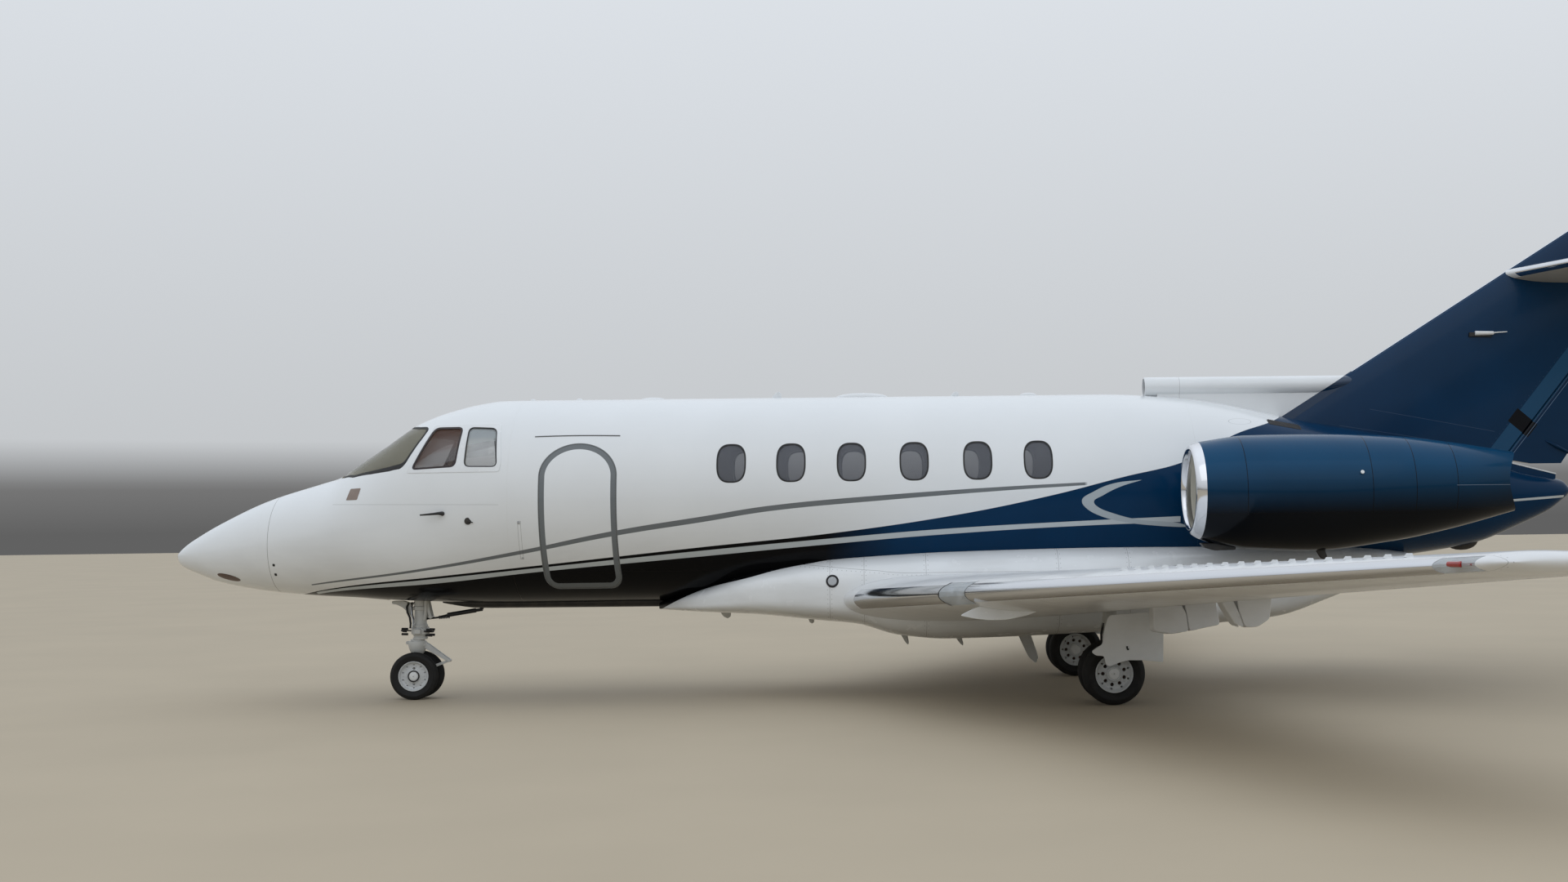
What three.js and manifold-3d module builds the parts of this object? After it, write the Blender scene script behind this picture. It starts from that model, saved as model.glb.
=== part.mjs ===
// A twin-engined business jet parked on its gear.
// Millimetres, +X aft, +Y starboard, +Z up; the origin is on the ground under the middle of the aircraft.
// Stations (s) run aft from the nose tip, heights (z) run up from the ground.

import * as THREE from 'three';
import { mergeVertices } from 'three/addons/utils/BufferGeometryUtils.js';
import Module from 'manifold-3d';

const wasm = await Module();
wasm.setup();

// Driving dimensions of the whole aircraft
const LENGTH = 15600;
const SPAN = 15660;
const HEIGHT = 5360;
const WALL = 60;
const GAP = 0.3;
const MOVING_GAP = 8;
const BODY_SIDES = 26;

// Splits of the fuselage
const RADOME_END = 900;
const BULKHEAD_FRONT = 1760;
const NOSE_SECTION_END = 3300;
const CABIN_END = 9560;
const TAIL_CONE_START = 12480;
const BODY_END = 13390;
const FLOOR_TOP = 1065;

// Landing gear
const NOSE_AXLE_S = 2250;
const MAIN_AXLE_S = 8660;
const MAIN_TRACK_HALF = 1395;

// Engines
const ENGINE_Y = 1560;
const ENGINE_Z = 1830;
const PYLON_Z = 1850;

const stationX = (s) => s - LENGTH / 2;

// Small helpers

function signedVolume(geometry) {
  const p = geometry.getAttribute('position');
  const index = geometry.getIndex().array;
  const [a, b, c] = [new THREE.Vector3(), new THREE.Vector3(), new THREE.Vector3()];
  let sum = 0;
  for (let i = 0; i < index.length; i += 3) {
    a.fromBufferAttribute(p, index[i]);
    b.fromBufferAttribute(p, index[i + 1]);
    c.fromBufferAttribute(p, index[i + 2]);
    sum += a.dot(b.cross(c));
  }
  return sum / 6;
}

function faceOut(geometry) {
  if (signedVolume(geometry) < 0) {
    const index = geometry.getIndex().array;
    for (let i = 0; i < index.length; i += 3) [index[i + 1], index[i + 2]] = [index[i + 2], index[i + 1]];
  }
  return geometry;
}

// A closed skin over rings that all have the same number of points
function loft(rings) {
  const count = rings[0].length;
  const points = rings.flat();
  const faces = [];
  for (let r = 0; r + 1 < rings.length; r++) {
    for (let k = 0; k < count; k++) {
      const a = r * count + k;
      const b = r * count + ((k + 1) % count);
      const port = points[a].y + points[b + count].y < 0;
      if (port) faces.push(a, b, a + count, b, b + count, a + count);
      else faces.push(a, b, b + count, a, b + count, a + count);
    }
  }
  const ends = [[rings[0], 0, true], [rings.at(-1), (rings.length - 1) * count, false]];
  for (const [ring, start, turned] of ends) {
    const middle = new THREE.Vector3();
    ring.forEach((v) => middle.addScaledVector(v, 1 / count));
    points.push(middle);
    for (let k = 0; k < count; k++) {
      const edge = [start + k, start + ((k + 1) % count)];
      if (turned) edge.reverse();
      faces.push(points.length - 1, ...edge);
    }
  }
  const geometry = new THREE.BufferGeometry().setFromPoints(points);
  geometry.setIndex(faces);
  return faceOut(geometry);
}

function solid(geometry) {
  const bare = geometry.clone();
  for (const name of Object.keys(bare.attributes)) if (name !== 'position') bare.deleteAttribute(name);
  const merged = faceOut(mergeVertices(bare, 1e-3));
  const mesh = new wasm.Mesh({
    numProp: 3,
    vertProperties: new Float32Array(merged.getAttribute('position').array),
    triVerts: new Uint32Array(merged.getIndex().array),
  });
  return new wasm.Manifold(mesh);
}

function geometryOf(body) {
  const mesh = body.getMesh();
  const geometry = new THREE.BufferGeometry();
  geometry.setAttribute('position', new THREE.BufferAttribute(new Float32Array(mesh.vertProperties), 3));
  geometry.setIndex(Array.from(mesh.triVerts));
  geometry.computeVertexNormals();
  return geometry;
}

const join = (first, ...others) => others.reduce((sum, other) => sum.add(other), first);
const cut = (first, ...others) => others.reduce((sum, other) => sum.subtract(other), first);

function mirrored(geometry) {
  const copy = geometry.clone();
  copy.scale(1, -1, 1);
  copy.setIndex(Array.from(copy.getIndex().array));
  faceOut(copy);
  copy.computeVertexNormals();
  return copy;
}

// A box between two stations, two side distances and two heights
function box(s0, s1, y0, y1, z0, z1) {
  const geometry = new THREE.BoxGeometry(s1 - s0, y1 - y0, z1 - z0);
  geometry.translate(stationX((s0 + s1) / 2), (y0 + y1) / 2, (z0 + z1) / 2);
  return solid(geometry);
}

// A prism whose outline is given as [station, side] pairs and which runs between two heights
function planPrism(outline, z0, z1) {
  const shape = new THREE.Shape(outline.map(([s, y]) => new THREE.Vector2(stationX(s), y)));
  const geometry = new THREE.ExtrudeGeometry(shape, { depth: z1 - z0, bevelEnabled: false });
  geometry.translate(0, 0, z0);
  return solid(geometry);
}

// A prism whose outline is given as [station, height] pairs and which runs between two side distances
function sidePrism(outline, y0, y1) {
  const shape = new THREE.Shape(outline.map(([s, z]) => new THREE.Vector2(stationX(s), z)));
  const geometry = new THREE.ExtrudeGeometry(shape, { depth: y1 - y0, bevelEnabled: false });
  geometry.rotateX(Math.PI / 2);
  geometry.translate(0, y1, 0);
  return solid(geometry);
}

// A rod of given radii between two points written as [station, side, height]
function rod(from, to, radiusFrom, radiusTo = radiusFrom, sides = 10) {
  const start = new THREE.Vector3(stationX(from[0]), from[1], from[2]);
  const end = new THREE.Vector3(stationX(to[0]), to[1], to[2]);
  const along = end.clone().sub(start);
  const geometry = new THREE.CylinderGeometry(radiusTo, radiusFrom, along.length(), sides);
  const turn = new THREE.Quaternion().setFromUnitVectors(new THREE.Vector3(0, 1, 0), along.normalize());
  geometry.applyQuaternion(turn);
  geometry.translate((start.x + end.x) / 2, (start.y + end.y) / 2, (start.z + end.z) / 2);
  return solid(geometry);
}

// A smooth value through a table whose first column is the place, kept free of overshoot
function tableValue(table, column, place) {
  const last = table.length - 1;
  if (place <= table[0][0]) return table[0][column];
  if (place >= table[last][0]) return table[last][column];
  const i = table.findIndex((row) => row[0] > place) - 1;
  const slope = (j) => (table[j + 1][column] - table[j][column]) / (table[j + 1][0] - table[j][0]);
  const tangent = (j) => {
    if (j === 0) return slope(0);
    if (j === last) return slope(last - 1);
    const [before, after] = [slope(j - 1), slope(j)];
    return before * after <= 0 ? 0 : (2 * before * after) / (before + after);
  };
  const step = table[i + 1][0] - table[i][0];
  const t = (place - table[i][0]) / step;
  const [p0, p1] = [table[i][column], table[i + 1][column]];
  const [m0, m1] = [tangent(i) * step, tangent(i + 1) * step];
  return (2 * t ** 3 - 3 * t ** 2 + 1) * p0 + (t ** 3 - 2 * t ** 2 + t) * m0
    + (3 * t ** 2 - 2 * t ** 3) * p1 + (t ** 3 - t ** 2) * m1;
}

const signedPower = (value, power) => Math.sign(value) * Math.abs(value) ** power;

// Fuselage: station, top height, bottom height, half width, height of the widest point,
// squareness of the section
const BODY_TABLE = [
  [0, 1384, 1374, 5, 1379, 2],
  [30, 1420, 1305, 62, 1378, 2],
  [100, 1485, 1255, 120, 1380, 2],
  [230, 1570, 1208, 190, 1388, 2],
  [400, 1669, 1164, 262, 1402, 2],
  [880, 1894, 1082, 425, 1462, 2],
  [1390, 2052, 998, 560, 1530, 2],
  [1660, 2118, 968, 628, 1572, 2.02],
  [2010, 2352, 936, 706, 1632, 2.15],
  [2468, 2622, 915, 828, 1722, 2.3],
  [2623, 2699, 906, 858, 1750, 2.25],
  [2855, 2780, 898, 900, 1792, 2.14],
  [3090, 2814, 891, 935, 1828, 2.05],
  [3400, 2818, 888, 965, 1853, 2],
  [8800, 2818, 888, 965, 1853, 2],
  [9618, 2768, 905, 940, 1836, 2],
  [10016, 2705, 945, 908, 1822, 2],
  [10653, 2560, 1050, 828, 1802, 2],
  [11582, 2392, 1205, 660, 1800, 2],
  [12387, 2200, 1330, 458, 1790, 2],
  [12896, 2018, 1520, 300, 1790, 2],
  [13150, 1970, 1638, 215, 1805, 2],
  [13290, 1936, 1738, 140, 1825, 2],
  [13350, 1880, 1785, 85, 1835, 2],
  [13390, 1840, 1825, 20, 1833, 2],
];

// Where the rings of the fuselage lie
const BODY_RINGS = [
  0, 20, 60, 130, 240, 400, 620, RADOME_END, 1150, 1390, 1600, BULKHEAD_FRONT, 2010, 2240, 2468, 2623,
  2855, 3090, NOSE_SECTION_END, 3400, 8800, 9200, CABIN_END, 10016, 10500, 11000, 11582, 12000,
  TAIL_CONE_START, 12896, 13150, 13290, 13350, BODY_END,
];

function bodyRing(s, inset) {
  const column = (i) => tableValue(BODY_TABLE, i, s);
  const [top, bottom, half, wide, squareness] = [1, 2, 3, 4, 5].map(column);
  const ring = [];
  for (let k = 0; k < BODY_SIDES; k++) {
    const angle = (2 * Math.PI * k) / BODY_SIDES;
    const rise = Math.sin(angle) > 0 ? top - wide - inset : wide - bottom - inset;
    const y = (half - inset) * signedPower(Math.cos(angle), 2 / squareness);
    const z = wide + rise * signedPower(Math.sin(angle), 2 / squareness);
    ring.push(new THREE.Vector3(stationX(s), y, z));
  }
  return ring;
}

// The solid inside the skin, or inside a skin moved in by the inset, between two stations
function bodySolid(from, to, inset = 0) {
  const places = [from, ...BODY_RINGS.filter((s) => s > from + 1 && s < to - 1), to];
  return solid(loft(places.map((s) => bodyRing(s, inset))));
}

// Windows: outlines in the side view for the panes, and in the plan view for the windscreen
const CABIN_WINDOWS = [5308, 5848, 6396, 6966, 7545, 8098];
const CABIN_WINDOW_Z = 2162;
const CABIN_WINDOW_HALF = [134, 179];
const SIDE_PANES = [
  [[2407, 2161], [2819, 2145], [2825, 2519], [2489, 2526]],
  [[2890, 2160], [3201, 2154], [3160, 2520], [2892, 2534]],
];
const WINDSCREEN_PLAN = [[1712, 42], [2240, 560], [2418, 432], [2398, 42]];
const WINDSCREEN_LOW = 1950;
const PANE_THICKNESS = 9;
const PANE_LAP = 14;

function roundedOutline(corners, radius, steps = 2) {
  const outline = [];
  corners.forEach((corner, i) => {
    const here = new THREE.Vector2(...corner);
    const before = new THREE.Vector2(...corners.at(i - 1)).sub(here).normalize();
    const after = new THREE.Vector2(...corners[(i + 1) % corners.length]).sub(here).normalize();
    const start = here.clone().addScaledVector(before, radius);
    const end = here.clone().addScaledVector(after, radius);
    for (let k = 0; k <= steps; k++) {
      const t = k / steps;
      outline.push([
        start.x * (1 - t) ** 2 + here.x * 2 * t * (1 - t) + end.x * t ** 2,
        start.y * (1 - t) ** 2 + here.y * 2 * t * (1 - t) + end.y * t ** 2,
      ]);
    }
  });
  return outline;
}

function ovalOutline(s, z, [halfWide, halfHigh], squareness = 2.8, sides = 14) {
  const outline = [];
  for (let k = 0; k < sides; k++) {
    const angle = (2 * Math.PI * (k + 0.5)) / sides;
    outline.push([
      s + halfWide * signedPower(Math.cos(angle), 2 / squareness),
      z + halfHigh * signedPower(Math.sin(angle), 2 / squareness),
    ]);
  }
  return outline;
}

const CORNER_RADIUS = 55;
const sideSpan = (side, inner, outer) => (side < 0 ? [-outer, -inner] : [inner, outer]);

function cockpitHoles(side) {
  const reach = sideSpan(side, 300, 1200);
  const holes = SIDE_PANES.map((corners) => sidePrism(roundedOutline(corners, CORNER_RADIUS), ...reach));
  const plan = roundedOutline(WINDSCREEN_PLAN, CORNER_RADIUS).map(([s, y]) => [s, side * y]);
  holes.push(planPrism(plan, WINDSCREEN_LOW, 2900));
  return holes;
}

// The panes of one side are one bent sheet that lies against the inner face of the wall
function glazingSheet(side, from, to, ...blanks) {
  const inset = WALL + GAP;
  const sheet = bodySolid(from, to, inset).subtract(bodySolid(from - 5, to + 5, inset + PANE_THICKNESS));
  const half = box(0, LENGTH, ...sideSpan(side, 1, 2000), 0, 4000);
  return sheet.intersect(half).intersect(join(...blanks));
}

function cockpitGlazing(side) {
  const corners = [[2380, 2138], [3224, 2132], [3184, 2552], [2462, 2554]];
  const sideBlank = sidePrism(roundedOutline(corners, CORNER_RADIUS, 2), ...sideSpan(side, 250, 1200));
  const front = [[1700, 30], [2330, 600], [2560, 440], [2480, 30]];
  const plan = roundedOutline(front, CORNER_RADIUS, 2).map(([s, y]) => [s, side * y]);
  return glazingSheet(side, BULKHEAD_FRONT, NOSE_SECTION_END + 20, sideBlank, planPrism(plan, 1900, 2900));
}

function cabinGlazing(side) {
  const [halfWide, halfHigh] = CABIN_WINDOW_HALF.map((half) => half + PANE_LAP);
  const [first, last] = [CABIN_WINDOWS[0] - halfWide, CABIN_WINDOWS.at(-1) + halfWide];
  const [low, high] = [CABIN_WINDOW_Z - halfHigh, CABIN_WINDOW_Z + halfHigh];
  const outline = [[first, low], [last, low], [last, high], [first, high]];
  const blank = sidePrism(outline, ...sideSpan(side, 400, 1200));
  return glazingSheet(side, NOSE_SECTION_END - 20, CABIN_END - 80, blank);
}

// Nose gear bay in the belly
const BAY = { from: 1990, to: 2620, half: 150, roof: 1130, wall: 22 };

// Passenger door on the port side
const DOOR = { from: 3590, to: 4270, bottom: 1045, top: 2352, shoulder: 2060, corner: 110 };

function doorOutline(grow) {
  const half = (DOOR.to - DOOR.from) / 2 + grow;
  const middle = (DOOR.from + DOOR.to) / 2;
  const outline = [];
  const { corner, shoulder } = DOOR;
  const height = DOOR.bottom - grow + corner;
  const lowerCorners = [[middle - half + corner, Math.PI], [middle + half - corner, 1.5 * Math.PI]];
  for (const [centre, start] of lowerCorners) {
    for (let k = 0; k <= 3; k++) {
      const angle = start + (k * Math.PI) / 6;
      outline.push([centre + corner * Math.cos(angle), height + corner * Math.sin(angle)]);
    }
  }
  for (let k = 0; k <= 10; k++) {
    const angle = (k * Math.PI) / 10;
    const rise = (DOOR.top + grow - shoulder) * Math.sin(angle);
    outline.push([middle + half * Math.cos(angle), shoulder + rise]);
  }
  return outline;
}

// The floor stops short of the door's inner lower edge, which swings up as the door opens
const DOOR_SILL_Y = 380;
// The door's hinge line lies just outside its lower edge
const DOOR_HINGE = { y: -541, z: 1030, radius: 12, places: [3720, 3915, 4110], width: 34 };

function doorHinges() {
  const { y, z, radius, places, width } = DOOR_HINGE;
  const leaf = places.flatMap((s) => [
    rod([s, y, z], [s + width, y, z], radius),
    box(s, s + width, y - 8, y + 22, z, z + 16),
  ]);
  const frame = places.flatMap((s) => [
    rod([s - width, y, z], [s - GAP, y, z], radius),
    box(s - width, s - GAP, y - 4, y + 61, z - 12, z + 4),
  ]);
  return { leaf, frame };
}

const doorBlank = (grow) => sidePrism(doorOutline(grow), -1400, -300);

// Wing: the leading edge, chord and thickness by side distance
const WING = {
  rootY: 800, edgeS: 5823, sweep: 0.4943, edgeZ: 850, rise: 0.0656,
  chord: 3360, taper: 0.2886, incidence: 0.026,
};
const AIRFOIL_PLACES = [1, 0.87, 0.74, 0.58, 0.42, 0.28, 0.16, 0.07, 0.02, 0];
const NOSE_POINT = AIRFOIL_PLACES.length - 1;
const CAMBER = 0.012;

const halfThickness = (u, ratio) =>
  5 * ratio * (0.2969 * Math.sqrt(u) - 0.126 * u - 0.3516 * u ** 2 + 0.2843 * u ** 3 - 0.1003 * u ** 4);

// The loop of a wing-like section: [chordwise place, height] in units of the chord,
// from the trailing edge over the top and back below
function airfoil(ratio, camber, grow) {
  const point = (u, face) => [u, camber * 4 * u * (1 - u) + face * (halfThickness(u, ratio) + grow)];
  const upper = AIRFOIL_PLACES.map((u) => point(u, 1));
  const lower = AIRFOIL_PLACES.slice(0, -1).reverse().map((u) => point(u, -1));
  return [...upper, ...lower];
}

const wingChord = (y) => WING.chord - WING.taper * y;
const wingEdge = (y) => WING.edgeS + WING.sweep * y;
const wingLine = (y, u) => wingEdge(y) + u * wingChord(y);
const wingThickness = (y) => 0.14 - (0.03 * y) / (SPAN / 2);

// Height of the wing's middle surface, and of its upper or lower skin
function wingHeight(y, u, face = 0) {
  const chord = wingChord(y);
  const middle = WING.edgeZ + WING.rise * y - u * chord * WING.incidence + CAMBER * 4 * u * (1 - u) * chord;
  return middle + face * halfThickness(u, wingThickness(y)) * chord;
}

// How far an end of the section is moved out when the section is grown
function endReach(i, grow) {
  if (i === NOSE_POINT) return -2 * grow;
  return i === 0 || i === 2 * NOSE_POINT ? grow : 0;
}

function wingRing(y, side, grow, shrinkChord = 1, shrinkThickness = 1) {
  const chord = wingChord(y) * shrinkChord;
  const edge = wingEdge(y) + wingChord(y) * (1 - shrinkChord) * 0.75;
  return airfoil(wingThickness(y) * shrinkThickness, CAMBER, grow / chord).map(([u, h], i) => {
    return new THREE.Vector3(stationX(edge + u * chord + endReach(i, grow)), side * y,
      WING.edgeZ + WING.rise * y + h * chord - u * chord * WING.incidence);
  });
}

function wingSolid(side, grow = 0) {
  const tip = SPAN / 2;
  return solid(loft([
    wingRing(WING.rootY - grow, side, grow),
    wingRing(tip - 150, side, grow),
    wingRing(tip - 50, side, grow, 0.97, 0.8),
    wingRing(tip - 12, side, grow, 0.93, 0.5),
    wingRing(tip, side, grow, 0.88, 0.12),
  ]));
}

// Flap and aileron: side distances of their ends, chord place of the front edge.
// The flap swings towards the body as it goes down, so its slot is wider there.
const FLAP = {
  from: 1095, slotFrom: 1050, to: 4850, place: 0.79, drop: 120,
};
// The two plates at each place that carry the flap, drawn as [aft, up] from the hinge
const FLAP_BRACKETS = [
  {
    y: 2350,
    fixed: [[24, -30], [20, 20], [-14, 150], [-252, 165], [-255, -100], [-100, -116], [0, -98]],
    moving: [[-20, -98], [-20, 16], [30, 150], [312, 165], [355, -36], [205, -60]],
  },
  {
    y: 3250,
    fixed: [[24, -24], [20, 20], [-14, 150], [-120, 160], [-88, 87], [10, -65]],
    moving: [[-20, -36], [-20, 16], [30, 150], [300, 168], [332, 150], [309, -13], [200, -80], [10, -65]],
  },
];
const AILERON = { from: 4960, to: 7480, place: 0.77 };

function planQuad(surface, front, back, side, grow) {
  const { from, to } = surface;
  const lean = WING.sweep - WING.taper * surface.place;
  const frontAt = (y) => wingLine(y, surface.place) + front;
  const backAt = (y) => wingLine(y, 1) + back;
  const outer = to + grow;
  const inner = from - grow;
  const outline = [
    [frontAt(inner), inner],
    [backAt(inner), inner],
    [backAt(outer), outer - lean * (backAt(outer) - wingLine(outer, surface.place))],
    [frontAt(outer), outer - lean * front],
  ];
  return outline.map(([s, y]) => [s, side * y]);
}

// A swept hinge line lies closer to a streamwise offset than the offset says
const HINGE_COSINE = 0.96;

// A round nose that runs along a hinge line between two places written as [station, side, height]
const hingeNose = (from, to, radiusFrom, radiusTo) => rod(from, to, radiusFrom, radiusTo, 16);

// Point on the flap's hinge line, which runs below the wing's lower skin
const flapHinge = (y, side) =>
  [wingLine(y, FLAP.place), side * y, wingHeight(y, FLAP.place, -1) - FLAP.drop];

// A plate across the flap's hinge line: its outline is [aft, up] from the hinge,
// and its faces are square to the hinge line
function hingePlate(side, y, outline, from, to) {
  const [near, far] = [flapHinge(y, side), flapHinge(y + 1000, side)].map((p) => new THREE.Vector3(...p));
  const along = far.clone().sub(near).normalize();
  const aft = new THREE.Vector3(1, 0, 0).addScaledVector(along, -along.x).normalize();
  const up = new THREE.Vector3().crossVectors(aft, along).multiplyScalar(side);
  const shape = new THREE.Shape(outline.map(([a, b]) => new THREE.Vector2(a, b)));
  const geometry = new THREE.ExtrudeGeometry(shape, { depth: to - from, bevelEnabled: false });
  geometry.translate(0, 0, from);
  geometry.applyMatrix4(new THREE.Matrix4().makeBasis(aft, up, along));
  geometry.translate(stationX(near.x), near.y, near.z);
  return solid(geometry);
}

function flapBrackets(side) {
  const half = 42;
  return {
    wings: FLAP_BRACKETS.map(({ y, fixed }) => hingePlate(side, y, fixed, -half, 0)),
    moving: FLAP_BRACKETS.map(({ y, moving }) => hingePlate(side, y, moving, GAP, half)),
  };
}

function flapParts(side) {
  const wing = wingSolid(side);
  const flap = wing.intersect(planPrism(planQuad(FLAP, MOVING_GAP, 60, side, 0), 0, 3000));
  const slot = planQuad({ ...FLAP, from: FLAP.slotFrom }, 0, 80, side, MOVING_GAP);
  return { flap: join(flap, ...flapBrackets(side).moving), recess: planPrism(slot, 0, 3000) };
}

function aileronHinge(y, side) {
  return [wingLine(y, AILERON.place), side * y, wingHeight(y, AILERON.place)];
}

const PIN_LENGTH = 75;
const aileronNoseRadius = (y) => 0.86 * halfThickness(AILERON.place, wingThickness(y)) * wingChord(y);

// A short pin on a hinge line, from just beyond a moving piece's end into the piece that carries it
function endPin(end, beyond, radius) {
  const [from, to] = [new THREE.Vector3(...end), new THREE.Vector3(...beyond)];
  const along = to.sub(from).normalize();
  const at = (distance) => from.clone().addScaledVector(along, distance).toArray();
  return rod(at(GAP), at(PIN_LENGTH), radius, radius, 12);
}

function aileronParts(side) {
  const wing = wingSolid(side);
  const [y0, y1] = [AILERON.from, AILERON.to];
  const skin = wing.intersect(planPrism(planQuad(AILERON, 0, 60, side, 0), 0, 3000));
  const ends = [aileronHinge(y0 + 16, side), aileronHinge(y1 - 1, side)];
  const nose = hingeNose(...ends, aileronNoseRadius(y0), aileronNoseRadius(y1));
  const ahead = -(aileronNoseRadius(y0) + MOVING_GAP) / HINGE_COSINE;
  const pin = endPin(aileronHinge(y1 + 0.7, side), aileronHinge(y1 + 100, side), 9);
  const recess = planPrism(planQuad(AILERON, ahead, 80, side, MOVING_GAP), 0, 3000);
  return { aileron: join(skin, nose), pin, recess };
}

// Belly fairing: station, height where it meets the body side, bottom height, half width
const FAIRING_TABLE = [
  [4560, 880, 815, 200],
  [5023, 1018, 792, 640],
  [5481, 1165, 770, 850],
  [6074, 1261, 706, 975],
  [6430, 1290, 668, 1000],
  [6800, 1310, 560, 1020],
  [7263, 1330, 515, 1035],
  [8637, 1356, 553, 1035],
  [9637, 1359, 610, 975],
  [10329, 1350, 668, 880],
  [10796, 1330, 810, 770],
  [11344, 1290, 1035, 600],
  [11650, 1260, 1180, 420],
];
const FAIRING_RINGS = [
  4560, 4780, 5023, 5481, 6074, 6430, 6620, 6800, 7263, 8637, 9637, 10329, 10560, 10796, 11344, 11650,
];
const FAIRING_SIDES = 24;

function fairingSolid() {
  const rings = FAIRING_RINGS.map((s) => {
    const [line, bottom, half] = [1, 2, 3].map((column) => tableValue(FAIRING_TABLE, column, s));
    const middle = bottom + 0.45 * (line - bottom);
    const up = (line - middle) / 0.86;
    const ring = [];
    for (let k = 0; k < FAIRING_SIDES; k++) {
      const angle = (2 * Math.PI * k) / FAIRING_SIDES;
      const rise = Math.sin(angle) > 0 ? up : middle - bottom;
      ring.push(new THREE.Vector3(stationX(s), half * signedPower(Math.cos(angle), 0.55),
        middle + rise * signedPower(Math.sin(angle), 0.55)));
    }
    return ring;
  });
  return solid(loft(rings));
}

// Fin and rudder: leading edge and trailing edge by height
const FIN_EDGE = [[2200, 10230], [2539, 10653], [3003, 11226], [HEIGHT, 15004]];
const finEdge = (z) => {
  const i = Math.max(0, FIN_EDGE.findIndex((row) => row[0] >= z) - 1);
  const [[z0, s0], [z1, s1]] = [FIN_EDGE[i], FIN_EDGE[i + 1]];
  return s0 + ((s1 - s0) * (z - z0)) / (z1 - z0);
};
const rudderBack = (z) => 13264 + 0.703 * (z - 2038);
const rudderHinge = (z) => 12842 + 0.81 * (z - 2243);
const FIN_THICKNESS = [[1900, 215], [3000, 205], [4000, 165], [HEIGHT, 62]];
const RUDDER_COSINE = 0.777;
const RUDDER = { bottomFront: 2140, bottomBack: 2045, nose: 0.84 };

function finRing(z, grow) {
  const edge = finEdge(z);
  const chord = rudderBack(z) - edge;
  const thickness = tableValue(FIN_THICKNESS, 1, z);
  return airfoil(thickness / chord, 0, grow / chord).map(([u, h], i) =>
    new THREE.Vector3(stationX(edge + u * chord + endReach(i, grow)), h * chord, z));
}

function finSolid(grow = 0) {
  return solid(loft([2100, 2539, 3003, 3400, 4000, 4700, HEIGHT - 30, HEIGHT].map((z) => finRing(z, grow))));
}

const rudderHalf = (z) => {
  const chord = rudderBack(z) - finEdge(z);
  const u = (rudderHinge(z) - finEdge(z)) / chord;
  return halfThickness(u, tableValue(FIN_THICKNESS, 1, z) / chord) * chord;
};

const rudderOutline = () => [
  [rudderHinge(RUDDER.bottomFront), RUDDER.bottomFront],
  [rudderBack(RUDDER.bottomBack) + 60, RUDDER.bottomBack],
  [rudderBack(HEIGHT) + 200, HEIGHT + 10],
  [rudderHinge(HEIGHT) + 8, HEIGHT + 10],
];

// Tailplane: half span, leading edge at the root, sweep, root chord, tip chord
const TAIL = {
  half: 3050, edgeS: 12789, z: 3961, sweep: 0.42, root: 2000, tip: 1000, thickness: 0.1, place: 0.68,
};
const tailChord = (y) => TAIL.root - ((TAIL.root - TAIL.tip) * y) / TAIL.half;
const tailLine = (y, u) => TAIL.edgeS + TAIL.sweep * y + u * tailChord(y);

function tailRing(y, side, grow, shrinkChord = 1, shrinkThickness = 1) {
  const chord = tailChord(y) * shrinkChord;
  const edge = tailLine(y, (1 - shrinkChord) * 0.8);
  return airfoil(TAIL.thickness * shrinkThickness, 0, grow / chord).map(([u, h]) =>
    new THREE.Vector3(stationX(edge + u * chord), side * y, TAIL.z + h * chord));
}

function tailSolid(side) {
  return solid(loft([
    tailRing(10, side, 0),
    tailRing(TAIL.half - 90, side, 0),
    tailRing(TAIL.half - 25, side, 0, 0.95, 0.7),
    tailRing(TAIL.half, side, 0, 0.86, 0.15),
  ]));
}

const ELEVATOR = { inner: 96, innerBack: 340, outer: 2900, lean: 0.197 };
const elevatorNoseRadius = (y) => 0.86 * halfThickness(TAIL.place, TAIL.thickness) * tailChord(y);

function elevatorOutline(side, front, grow) {
  const { inner, innerBack, outer, lean } = ELEVATOR;
  const behind = 40;
  const depth = tailLine(outer, 1) + behind - tailLine(outer, TAIL.place);
  return [
    [tailLine(inner, TAIL.place) + front, inner - grow],
    [tailLine(innerBack, 1) + behind, innerBack - grow],
    [tailLine(outer, 1) + behind, outer + grow - lean * depth],
    [tailLine(outer, TAIL.place) + front, outer + grow - lean * front],
  ].map(([s, y]) => [s, side * y]);
}

// Nacelle: station, outer radius, height of the middle, how far the sides of the ring sit ahead
const NACELLE_OUT = [
  [9345, 362, 1863, 0],
  [9350, 376, 1862, 0],
  [9372, 398, 1858, 0],
  [9430, 423, 1850, 0],
  [9500, 442, 1843, 0],
  [9570, 457, 1838, 0],
  [9700, 481, 1833, 0],
  [9826, 497, 1829, 0],
  [10404, 512, 1821, 0],
  [11128, 462, 1848, 0],
  [11615, 388, 1868, 0],
  [12216, 262, 1898, 118],
];
const ENGINE_BORE = 372;
const NACELLE_IN = [
  [9345, 362, 1863, 0],
  [9356, 346, 1863, 0],
  [9400, 336, 1858, 0],
  [9460, 338, 1850, 0],
  [9600, 352, 1838, 0],
  [9860, ENGINE_BORE, ENGINE_Z, 0],
  [11300, ENGINE_BORE, ENGINE_Z, 0],
  [11700, 300, 1862, 0],
  [12216, 250, 1898, 118],
];
const FAN_FRONT = 9905;
const FAN_BACK = 9985;
const FAN_RADIUS = 364;
const ENGINE_END = 11290;

const NACELLE_SIDES = 24;

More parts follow.
